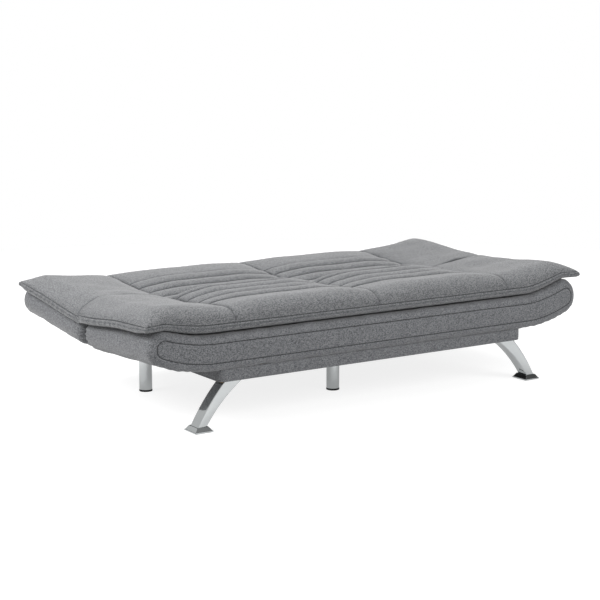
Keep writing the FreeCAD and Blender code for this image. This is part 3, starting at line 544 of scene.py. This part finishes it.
# %% [markdown]
# ## The padded bodies
# Under the quilt lie two boat-shaped bodies: foam and cloth over a wooden frame, flat in
# the middle with ends that turn up. Their outline is two long arcs and a round end. The
# cover is that outline carried across the depth, drawn in at both faces as a soft roll, and
# closed by a slightly pillowed face with a sewn line round it.

# %% Outline of the body
def boat_outline(inset, count=420):
    """Points round the level outline, drawn in by an inset: along the underside, then back over the top."""
    def one_side(top):
        """The underside or the top from its left tip to its right tip: two arcs and the round ends."""
        if top:
            radius = TOP_RADIUS
            x = np.linspace(0, CREST_X, 400)
            z = DECK + radius - np.sqrt(radius ** 2 - np.clip(x - BEND, 0, None) ** 2)
            nx, nz = np.clip(x - BEND, 0, None) / radius, -(DECK + radius - z) / radius
            start = math.atan2(CREST_X - END_X, deck(CREST_X) - END_Z)
        else:
            radius = LOW_RADIUS
            stop = BEND + (END_X - BEND) * radius / (radius - END_RADIUS)
            x = np.linspace(0, stop, 400)
            z = BOTTOM + radius - np.sqrt(radius ** 2 - np.clip(x - BEND, 0, None) ** 2)
            nx, nz = -np.clip(x - BEND, 0, None) / radius, (BOTTOM + radius - z) / radius
            start = math.atan2(stop - END_X, END_Z - float(z[-1]))
        angle = start + (math.pi / 2 - start) * np.linspace(0, 1, 80)[1:]
        way = np.stack([np.sin(angle), (1 if top else -1) * np.cos(angle)], axis=1)
        points = np.vstack([np.stack([x, z], axis=1), (END_X, END_Z) + END_RADIUS * way])
        inward = np.vstack([np.stack([nx, nz], axis=1), -way])
        points = points + inset * inward
        return np.vstack([points[::-1] * (-1, 1), points[1:]])

    def even(line):
        """The same line with points closer together towards its two ends."""
        run = np.concatenate([[0], np.cumsum(np.linalg.norm(np.diff(line, axis=0), axis=1))])
        t = np.linspace(0, 1, count // 2 + 1)
        goal = run[-1] * (t - 0.75 * np.sin(2 * np.pi * t) / (2 * np.pi))
        return np.stack([np.interp(goal, run, line[:, 0]), np.interp(goal, run, line[:, 1])], axis=1)

    low, top = even(one_side(False)), even(one_side(True))
    return np.vstack([low, top[-2:0:-1]])


def fuller_ends(ring, u, side):
    """The outline with its ends lifted: all of the lift at the top and none at the underside."""
    x = np.minimum(np.abs(ring[:, 0]), END_X)
    low = BOTTOM + LOW_RADIUS - np.sqrt(LOW_RADIUS ** 2 - np.clip(x - BEND, 0, None) ** 2)
    share = np.clip((ring[:, 1] - low) / (deck(x) - low), 0, 1)
    return ring + np.stack([0 * x, end_lift(ring[:, 0], u, side) * share], axis=1)


def body_cover(side):
    """The outline carried from face to face, drawn in at both as a soft roll, with both faces filled."""
    crease_roll, front_roll, middle_z = 0.036, 0.027, 0.26
    turns = np.linspace(0, math.pi / 2, 9)
    rings = [(crease_roll * (1 - math.sin(a)), 0.007 + crease_roll * (1 - math.cos(a))) for a in turns]
    rings += [(0.0, u) for u in np.linspace(0.06, DEPTH - front_roll - 0.02, 22)]
    rings += [(front_roll * (1 - math.cos(a)), DEPTH - front_roll + front_roll * math.sin(a))
              for a in turns]
    groove = ((0.0010, 0.0016), (0.0022, 0.0034), (0.0034, 0.0018), (0.0055, -0.0004))
    rings += [(front_roll + further, DEPTH - deep) for further, deep in groove]
    levels = []
    for inset, u in rings:
        ring = fuller_ends(boat_outline(inset), u, side)
        levels.append(np.stack([ring[:, 0], np.full(len(ring), side * u), ring[:, 1]], axis=1))
    shell = np.array(levels)
    half = shell.shape[1] // 2

    def face(ring, bow):
        """A ring filled with lines from its lower to its upper points, bowed outwards a little."""
        low, top = ring[:half + 1], np.vstack([ring[half:], ring[:1]])[::-1]
        share = np.linspace(0, 1, 9)
        grid = low[:, None] * (1 - share[None, :, None]) + top[:, None] * share[None, :, None]
        tall = np.linalg.norm(top - low, axis=1)[:, None]
        grid[..., 1] += side * bow * np.sin(np.pi * share)[None] * smooth(0, 0.05, tall)
        return grid

    x, y, z = shell[..., 0], np.abs(shell[..., 1]), shell[..., 2]
    rolls = smooth(DEPTH - 0.09, DEPTH - 0.02, y) * smooth(DEPTH + 0.002, DEPTH - 0.006, y)
    around = np.arctan2(z - END_Z, np.abs(x) - END_X)
    soft = 0.0009 * ripples(x, y + z, 31 + side, 0.16, 0.05)
    tucks = 0.0010 * np.sin(2 * np.pi * x / 0.034 + 2 * np.sin(x * 13)) * rolls
    ends = smooth(0.86, 0.94, np.abs(x))
    pucker = 0.0022 * np.sin(around * 16 + 1.5 * np.sin(3 * around)) * ends * smooth(0.10, 0.02, y)
    shell[..., 2] += (soft + tucks) * smooth(0.0, 0.01, DEPTH - y) * np.sign(z - middle_z)
    shell[..., 0] += pucker * np.sign(x)
    grids = [(lie(shell, side), False, True), (lie(face(shell[0], -0.001), side), False, False),
             (lie(face(shell[-1], 0.0025), side), False, False)]
    cover = make_piece("cover_" + BODY[side], grids, body_cloth, BODY[side], merge=2e-5)
    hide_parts(BODY[side] + "_body_cover")


for half in (SEAT, BACK):
    body_cover(half)

# %% [markdown]
# ## The sewn line round the front
# A thin covered cord lies in the seam, between the roll and the face. It is a small circle
# carried round the drawn-in outline. Its cloth is much darker than the body's: painted shade
# of the groove.

# %% Piping
def tube(line, radius, sides=10):
    """A circle carried along a closed line in an upright plane: across the line, and along y."""
    along = np.roll(line, -1, axis=0) - np.roll(line, 1, axis=0)
    along /= np.linalg.norm(along, axis=1)[:, None]
    across = np.stack([-along[:, 2], np.zeros(len(line)), along[:, 0]], axis=1)
    turn = np.linspace(0, 2 * np.pi, sides, endpoint=False)
    return line[:, None] + radius * (np.cos(turn)[None, :, None] * across[:, None]
                                     + np.sin(turn)[None, :, None] * np.array([0.0, 1.0, 0.0]))


def piping(side):
    """The covered cord in the groove between the front roll and the front face."""
    inset, behind, radius = 0.0292, 0.0018, 0.0019
    ring = fuller_ends(boat_outline(inset, 640), DEPTH, side)
    line = np.stack([ring[:, 0], np.full(len(ring), side * (DEPTH - behind)), ring[:, 1]], axis=1)
    cord = make_piece("piping_" + BODY[side], [(lie(tube(line, radius), side), True, True)], cord_cloth_painted_shade,
                      BODY[side], merge=1e-6)
    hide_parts(BODY[side] + "_piping")


for half in (SEAT, BACK):
    piping(half)

# %% [markdown]
# ## The plinth
# The bed stands on a low upholstered plinth: a band of the same cloth stretched round a
# wooden frame. It is a rounded rectangle carried upwards, cut on top to the shallow V in
# which the two bodies lie, with a hem near its lower edge.

# %% Plinth cover
PLINTH_X, PLINTH_FRONT, PLINTH_REAR, PLINTH_LOW = 0.691, -0.515, 0.225, 0.173
PLINTH_CORNER = 0.025
# The section of the band, round from its inner face over the hem to its top: how far in,
# the share of the height, and what comes on top of that.
PLINTH_SECTION = (
    (0.0130, 0.0, 0.0036), (0.0130, 0.0, 0.0), (0.0012, 0.0, 0.0), (0.0002, 0.0, 0.0015),
    (0.0, 0.0, 0.0050), (0.0011, 0.0, 0.0065), (0.0, 0.0, 0.0080),
    (-0.0006, 0.3, 0.0), (-0.0008, 0.5, 0.0), (-0.0006, 0.7, 0.0), (0.0, 0.88, 0.0),
    (0.0010, 0.97, 0.0), (0.0022, 1.0, 0.0), (0.0058, 1.0, 0.0), (0.0058, 0.0, 0.0036),
)


def under_body(y):
    """Height of the bodies' underside over y: the higher of the two tilted planes."""
    planes = [HINGE_Z + y * math.tan(TILT[side]) + (BOTTOM - HINGE_Z) / math.cos(TILT[side])
              for side in (SEAT, BACK)]
    return np.maximum(*planes)


def rounded_path(x, y0, y1, corner, step=0.01):
    """Closed path round a rectangle with quarter-circle corners, with its outward normals."""
    turn = np.linspace(0, math.pi / 2, 9)
    path, normal = [], []
    centres = [(x - corner, y1 - corner), (-x + corner, y1 - corner),
               (-x + corner, y0 + corner), (x - corner, y0 + corner)]
    for n, (cx, cy) in enumerate(centres):
        following = (n + 1) % 4
        angle = turn + n * math.pi / 2
        arc = np.stack([cx + corner * np.cos(angle), cy + corner * np.sin(angle)], axis=1)
        out = np.stack([np.cos(angle), np.sin(angle)], axis=1)
        nx, ny = centres[following]
        begin = following * math.pi / 2
        goal = np.array([nx + corner * math.cos(begin), ny + corner * math.sin(begin)])
        share = np.linspace(0, 1, max(2, int(np.linalg.norm(goal - arc[-1]) / step)))[1:-1, None]
        path += [arc, arc[-1] + (goal - arc[-1]) * share]
        normal += [out, np.repeat(out[-1:], len(share), axis=0)]
    return np.vstack(path), np.vstack(normal)


def plinth_cover():
    """The section of the band carried round the plinth and up to the underside of the bodies."""
    path, out = rounded_path(PLINTH_X, PLINTH_FRONT, PLINTH_REAR, PLINTH_CORNER)
    tall = under_body(path[:, 1]) + 0.0010 - PLINTH_LOW
    wave = 0.0005 * np.sin(path[:, 0] * 70 + 2 * np.sin(path[:, 1] * 60))
    rows = []
    for inset, share, height in PLINTH_SECTION:
        shift = -inset + wave * math.sin(math.pi * share)
        rows.append(np.column_stack([path + out * shift[:, None], PLINTH_LOW + share * tall + height]))
    cover = make_piece("plinth_band", [(np.array(rows), True, True)], body_cloth, "base")
    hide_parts("plinth_cover")


plinth_cover()

# %% [markdown]
# ## Dust cloth
# A thin black cloth is stapled under the plinth. It is a single sheet with cut-outs round the
# leg plates, stretched with a little sag, and Solidify gives it its thickness.

# %% Dust cloth
dust_black, place, feed = new_material("dust_cloth", Roughness=0.95, Specular_IOR_Level=0.1)
web = grain(scaled(place, 300, 300, 300), 1.0, 3.0, 0.7)
feed(Base_Color=web.step(0.35, 0.65).mix((0.012, 0.012, 0.012, 1), (0.035, 0.035, 0.036, 1)))
feed(Normal=bump(web, 0.5, 0.0006))


def dust_cloth():
    """A grid whose lines run along every cut, without the cells that lie in a cut-out."""
    half, front, rear, level = 0.676, -0.500, 0.210, 0.1766
    cuts = [(0.572, half, front, -0.388), (-half, -0.572, front, -0.388), (0.577, half, 0.132, rear),
            (-half, -0.577, 0.132, rear), (-0.043, 0.043, -0.248, -0.162)]

    def lines(low, high, count, places):
        """Even lines from low to high, and one more along every cut."""
        return np.unique(np.round(np.concatenate([np.linspace(low, high, count), places]), 5))

    x = lines(-half, half, 60, [place for cut in cuts for place in cut[:2]])
    y = lines(front, rear, 34, [place for cut in cuts for place in cut[2:]])
    mx, my = 0.5 * (x[1:] + x[:-1])[:, None], 0.5 * (y[1:] + y[:-1])[None, :]
    keep = np.ones((len(x) - 1, len(y) - 1), bool)
    for x0, x1, y0, y1 in cuts:
        keep &= ~((mx > x0) & (mx < x1) & (my > y0) & (my < y1))
    gx, gy = np.meshgrid(x, y, indexing="ij")
    sag = 0.0030 * np.abs(np.sin(np.pi * gx / half)) * np.sin(np.pi * (gy - front) / (rear - front))
    points = np.stack([gx, gy, level - sag], axis=-1)
    sheet = make_piece("dust_sheet", [(points, False, False, keep)], dust_black, "base")
    solid = sheet.modifiers.new("thickness", "SOLIDIFY")
    solid.thickness = 0.0006
    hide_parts("dust_cloth")


dust_cloth()

# %% [markdown]
# ## Chrome
# Chrome is a mirror, so its look comes from what it reflects and from the shape of its
# faces. Very faint unevenness of the polish keeps the reflections from being perfect.

# %% Chrome and black plastic
chrome, place, feed = new_material("chrome", Metallic=1.0)
haze = grain(place, 30.0, 3.0)
feed(Base_Color=haze.mix((0.66, 0.685, 0.69, 1), (0.74, 0.765, 0.77, 1)))
feed(Roughness=haze * 0.05 + 0.035)
black_plastic, place, feed = new_material("black_plastic", Specular_IOR_Level=0.35)
pores = grain(place, 700.0, 2.0)
feed(Base_Color=pores.mix((0.010, 0.010, 0.011, 1), (0.024, 0.024, 0.025, 1)), Roughness=pores * 0.2 + 0.42)
feed(Normal=bump(pores, 0.25, 0.0004))
print("chrome and plastic ready")

# %% [markdown]
# ## The curved front legs
# Each front leg is a rectangular tube that sweeps outwards. Its outer and its inner face
# are arcs through three points of the CAD. Between the two arcs stands a rectangle with
# rounded corners, and the leg is that section carried from top to bottom.

# %% Front legs
def arc_through(first, middle, last, count):
    """Points on the circle through three points; its centre is where the two upright bisectors cross."""
    (ax, az), (bx, bz), (cx, cz) = first, middle, last
    a2, b2, c2 = ax * ax + az * az, bx * bx + bz * bz, cx * cx + cz * cz
    twice = 2 * (ax * (bz - cz) + bx * (cz - az) + cx * (az - bz))
    ox = (a2 * (bz - cz) + b2 * (cz - az) + c2 * (az - bz)) / twice
    oz = (a2 * (cx - bx) + b2 * (ax - cx) + c2 * (bx - ax)) / twice
    start, stop = np.unwrap([math.atan2(az - oz, ax - ox), math.atan2(cz - oz, cx - ox)])
    turn = np.linspace(start, stop, count)
    radius = math.hypot(ax - ox, az - oz)
    return np.stack([ox + radius * np.cos(turn), oz + radius * np.sin(turn)], axis=1)


SHARP = math.radians(50)


def front_leg(mark, word):
    """A rounded rectangle between two arcs, from the plinth down to the foot plate and open there."""
    outer = arc_through((0.664, PLINTH_LOW), (0.735, 0.085), (0.775, 0.020), 56)
    inner = arc_through((0.588, PLINTH_LOW), (0.683, 0.090), (0.737, 0.020), 56)
    centre, reach = 0.5 * (outer + inner), 0.5 * (outer - inner)
    width = np.linalg.norm(reach, axis=1)
    cos, sin, sign = rounded_corners(6)
    radius, depth, behind, foot_top = 0.0040, 0.026, 0.014, 0.0195
    across = sign[:, 0] * (width[:, None] - radius) + radius * cos
    along_y = sign[:, 1] * (depth - radius) + radius * sin
    way = reach / width[:, None]
    x = centre[:, 0, None] + way[:, 0, None] * across
    z = centre[:, 1, None] + way[:, 1, None] * across
    y = np.broadcast_to(PLINTH_FRONT + behind + depth + along_y, x.shape)
    z = np.clip(z, foot_top, PLINTH_LOW)
    skin = np.stack([mark * x, y, z], axis=-1)
    skin = np.concatenate([lid(skin, 0), skin])
    leg = make_piece("chrome_leg_" + word, [(skin, False, True)], chrome, "base")
    leg.data.set_sharp_from_angle(angle=SHARP)
    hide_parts("front_leg_" + word)


for mark, word in ((-1, "left"), (1, "right")):
    front_leg(mark, word)

# %% [markdown]
# ## Round legs and caps
# The three legs under the middle and the rear are plain round tubes with a black cap. Both
# are turned shapes: a profile of radius and height carried round an upright axis.

# %% Round legs
def turned(profile, x, y, sides=72):
    """A profile of (radius, height) pairs carried once round the upright line at x and y."""
    radius, height = np.array(profile).T
    turn = np.linspace(0, 2 * np.pi, sides, endpoint=False)
    ring = np.stack([np.cos(turn), np.sin(turn)], axis=1)
    points = np.empty((len(radius), sides, 3))
    points[..., :2] = np.array([x, y]) + radius[:, None, None] * ring[None]
    points[..., 2] = height[:, None]
    return points


ROUND_LEGS = {"rear_leg_left": (-0.620, 0.175), "centre_leg": (0.0, -0.205),
              "rear_leg_right": (0.620, 0.175)}
TUBE_PROFILE = ((0, 0.007), (0.0244, 0.007), (0.0250, 0.0078), (0.0250, 0.05), (0.0250, 0.12),
                (0.0250, PLINTH_LOW), (0, PLINTH_LOW))
CAP_PROFILE = ((0, 0), (0.0248, 0), (0.0256, 0.0005), (0.0258, 0.0013), (0.0258, 0.0058),
               (0.0255, 0.0066), (0.0249, 0.0070), (0, 0.0070))
for node, (x, y) in ROUND_LEGS.items():
    tube_grid = turned(TUBE_PROFILE, x, y)
    leg = make_piece("tube_" + node, [(tube_grid, False, True)], chrome, "base")
    leg.data.set_sharp_from_angle(angle=SHARP)
    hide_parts(node)
cap_grids = [(turned(CAP_PROFILE, x, y), False, True) for x, y in ROUND_LEGS.values()]
caps = make_piece("round_caps", cap_grids, black_plastic, "base")
caps.data.set_sharp_from_angle(angle=SHARP)
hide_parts("round_leg_caps")

# %% [markdown]
# ## Foam
# Inside each body lies a foam slab on the springs, and foam fills the turned-up ends. Both
# are soft blocks: a rounded rectangle in u and z, carried along x between a lower and an
# upper height, and drawn in at its two ends.

# %% Foam
foam, place, feed = new_material("foam", Roughness=0.95, Specular_IOR_Level=0.15)
cells = place.node("ShaderNodeTexVoronoi", Vector=place, Scale=420.0)
tone = cells.step(0.0, 0.7) * 0.6 + grain(place, 9.0) * 0.4
feed(Base_Color=tone.mix((0.66, 0.58, 0.36, 1), (0.86, 0.80, 0.60, 1)))
feed(Normal=bump(cells, 0.5, 0.001))
SLAB_X, SLAB_U, SLAB_Z = (-0.700, 0.700), (0.0896, 0.4831), (0.2923, 0.3093)
BLOCKS_X, BLOCKS_U = ((0.7205, 0.8594), (0.8806, 0.9585)), (0.0786, 0.4941)
SLAB_RADIUS, BLOCK_RADIUS = 0.006, 0.008


def foam_block(x0, x1, u0, u1, limits, radius, side):
    """Rounded sections from x0 to x1, each between the two heights that limits gives."""
    turn = np.linspace(0, math.pi / 2, 5)
    drawn = np.concatenate([1 - np.sin(turn), np.zeros(22), 1 - np.sin(turn[::-1])])
    x = np.concatenate([x0 + radius * (1 - np.cos(turn)),
                        np.linspace(x0 + radius, x1 - radius, 24)[1:-1],
                        x1 - radius * (1 - np.cos(turn[::-1]))])
    low, high = limits(x)
    inset = np.minimum(radius * drawn, 0.49 * (high - low))
    low, high = low + inset, high - inset
    bend = np.minimum(radius, 0.49 * (high - low))
    cos, sin, sign = rounded_corners(5)
    wide, tall = 0.5 * (u1 - u0) - inset - bend, 0.5 * (high - low) - bend
    u = 0.5 * (u0 + u1) + sign[:, 0] * wide[:, None] + bend[:, None] * cos
    z = 0.5 * (low + high)[:, None] + sign[:, 1] * tall[:, None] + bend[:, None] * sin
    skin = np.stack([np.repeat(x[:, None], u.shape[1], axis=1), side * u, z], axis=-1)
    return lie(np.concatenate([lid(skin, 0), skin, lid(skin, -1)]), side)


def slab_limits(x):
    """Lower and upper height of the flat slab on the springs."""
    return np.full(len(x), SLAB_Z[0]), np.full(len(x), SLAB_Z[1])


def end_limits(x):
    """Lower and upper height of the hollow in the turned-up ends."""
    ring = boat_outline(0.0126)
    half = len(ring) // 2
    low, high = ring[:half + 1], np.vstack([ring[half:], ring[:1]])[::-1]
    return np.interp(x, low[:, 0], low[:, 1]), np.interp(x, high[:, 0], high[:, 1])


for half in (SEAT, BACK):
    slab = foam_block(*SLAB_X, *SLAB_U, slab_limits, SLAB_RADIUS, half)
    piece = make_piece("foam_slab_" + BODY[half], [(slab, False, True)], foam, BODY[half])
    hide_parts(BODY[half] + "_foam_slab")
    blocks = [(foam_block(mark * x0, mark * x1, *BLOCKS_U, end_limits, BLOCK_RADIUS, half), False, True)
              for x0, x1 in BLOCKS_X for mark in (-1, 1)]
    piece = make_piece("end_foam_" + BODY[half] + "_blocks", blocks, foam, BODY[half])
    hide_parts(BODY[half] + "_end_foam")

# %% [markdown]
# ## Wood and steel inside
# The frame is plain: pine ribs and rails, plywood boards, steel arms, wire springs. The CAD
# nodes have the right shapes, so they stay. Weld joins their loose triangles, a small Bevel
# breaks the edges of the wood, chrome and plastic ones, and each gets a finish. Pine has long
# wavy growth lines along the piece. Plywood shows its layers at the edges. Pressed steel is
# oiled and a little brushed.

# %% Wood
def pine(name, stretch):
    """Wavy growth lines: the sine of a noise drawn out along the piece, over a finer grain."""
    material, place, feed = new_material(name, Roughness=0.62)
    lines = grain(scaled(place, *stretch), 1.0, 4.0, 0.55)
    rings = (lines * 40.0).sine() * 0.5 + 0.5
    tone = rings * 0.45 + grain(scaled(place, *[s * 6 for s in stretch]), 1.0, 3.0) * 0.55
    feed(Base_Color=tone.mix((0.52, 0.33, 0.15, 1), (0.78, 0.60, 0.36, 1)), Normal=bump(tone, 0.2, 0.0005))
    return material


pine_along_x = pine("pine_along_x", (1.2, 22.0, 22.0))
pine_along_y = pine("pine_along_y", (22.0, 1.2, 22.0))
plywood, place, feed = new_material("plywood", Roughness=0.6)
VENEER = 0.0036
depth = place.node("ShaderNodeSeparateXYZ", out=1, Vector=place)
layer = (depth * (2 * math.pi / VENEER)).sine().step(-0.4, 0.4)
figure = grain(scaled(place, 2.0, 30.0, 30.0), 1.0, 4.0)
feed(Base_Color=(layer * 0.35 + figure * 0.65).mix((0.50, 0.34, 0.18, 1), (0.80, 0.65, 0.43, 1)))
feed(Normal=bump(figure, 0.2, 0.0004))
print("wood ready")


# %% Steel
def steel(name, dark, light, rough):
    """Metal with fine brush marks in its roughness and large stains in its colour."""
    material, place, feed = new_material(name, Metallic=1.0)
    brushed = grain(scaled(place, 60, 60, 900), 1.0, 3.0)
    stain = grain(place, 25.0, 3.0)
    feed(Base_Color=stain.mix(dark, light), Roughness=brushed * 0.18 + rough)
    feed(Normal=bump(brushed, 0.15, 0.0002))
    return material


pressed_steel = steel("pressed_steel", (0.24, 0.24, 0.25, 1), (0.42, 0.42, 0.43, 1), 0.28)
wire_steel = steel("wire_steel", (0.36, 0.36, 0.37, 1), (0.52, 0.52, 0.53, 1), 0.2)
print("steel ready")

# %% Finishes for the CAD nodes that stay
FINISH = {"mechanism_steel": pressed_steel, "spring_steel": wire_steel, "chrome": chrome,
          "black_plastic": black_plastic, "plywood": plywood, "pine": pine_along_y}
ALONG_X = ("plinth_front_rail", "plinth_rear_rail", "leg_blocks")
slots = {row["node"]: row["material_slot"] for row in frame["record"]["subparts"]}
kept = [name for name, node in frame["nodes"].items() if not node.hide_render]
for name in kept:
    node = frame["nodes"][name]
    finish = pine_along_x if name in ALONG_X else FINISH[slots[name]]
    if not node.material_slots:
        node.data.materials.append(finish)
    for holder in node.material_slots:
        holder.material = finish
    weld = node.modifiers.new("weld", "WELD")
    weld.merge_threshold = 0.00001
    if slots[name] in ("pine", "plywood", "chrome", "black_plastic"):
        polished = slots[name] == "chrome"
        edge = node.modifiers.new("edge", "BEVEL")
        edge.width = 0.0012 if polished else 0.0008
        edge.segments = 3 if polished else 2
        edge.limit_method = "ANGLE"
        edge.angle_limit = math.radians(35)
        edge.harden_normals = polished
print("CAD nodes with a finish:", len(kept))

# %% [markdown]
# ## Floor and light
# The photograph is a cut-out on white, lit softly from the upper left. A round pale floor
# runs out into a white surround, one big lamp stands at the left, and two more fill in.
# Light Path makes floor and surround white for the camera and dimmer for all other rays, so
# that they don't wash out the bed. In the chrome the surround is darker to the right, and
# of the lamps only the top one shows.

# %% Floor, surround and lamps
FLOOR_RADIUS, FLOOR_GLOW = 4.0, 0.82
paper, place, feed = new_material("paper_floor", Roughness=0.9, Specular_IOR_Level=0.1,
                                  Emission_Strength=FLOOR_GLOW)
seen = place.node("ShaderNodeLightPath")
feed(Emission_Color=seen.mix((0.42, 0.42, 0.42, 1), (1, 1, 1, 1)))
feed(Base_Color=grain(place, 0.8).mix((0.32, 0.32, 0.32, 1), (0.34, 0.34, 0.34, 1)))
distance, turn = np.meshgrid(np.linspace(0.001, FLOOR_RADIUS, 6), np.linspace(0, 2 * np.pi, 97)[:-1],
                             indexing="ij")
rings = np.stack([distance * np.cos(turn), distance * np.sin(turn), 0 * turn], axis=-1)
floor_mesh = bpy.data.meshes.new("floor")
floor_mesh.from_pydata(rings.reshape(-1, 3).tolist(), [], quads(turn.shape, 0, False, True).tolist())
floor = bpy.data.objects.new("floor", floor_mesh)
floor_mesh.materials.append(paper)
bpy.context.scene.collection.objects.link(floor)

world = bpy.data.worlds.new("surround")
bpy.context.scene.world = world
world.use_nodes = True
surround = world.node_tree.nodes["Background"]
seen = world.node_tree.nodes.new("ShaderNodeLightPath")
way = Wire(world.node_tree, world.node_tree.nodes.new("ShaderNodeTexCoord").outputs["Generated"])
right = way.node("ShaderNodeSeparateXYZ", Vector=way).step(0.1, 0.75)
mirrored = Wire(world.node_tree, seen.outputs["Is Glossy Ray"])
level = Wire(world.node_tree, seen.outputs["Is Camera Ray"]) * 0.45 + 0.55 - mirrored * right * 0.50
surround.inputs["Color"].default_value = (1, 1, 1, 1)
world.node_tree.links.new(level.socket, surround.inputs["Strength"])


def lamp(name, place, size, power):
    """A round area lamp that points at the middle of the bed."""
    data = bpy.data.lights.new(name, "AREA")
    data.shape, data.size, data.energy = "DISK", size, power
    light = bpy.data.objects.new(name, data)
    light.location = place
    light.visible_glossy = name == "top"
    x, y, z = np.array((0, 0, 0.3)) - np.array(place)
    light.rotation_euler = (math.atan2(math.hypot(x, y), -z), 0, math.atan2(y, x) - math.pi / 2)
    bpy.context.scene.collection.objects.link(light)


lamp("key", (-4.4, 0.6, 3.4), size=2.6, power=250)
lamp("front", (1.0, -5.0, 3.0), size=3.0, power=170)
lamp("top", (0.5, 1.5, 5.0), size=3.5, power=120)
print("lamps placed")
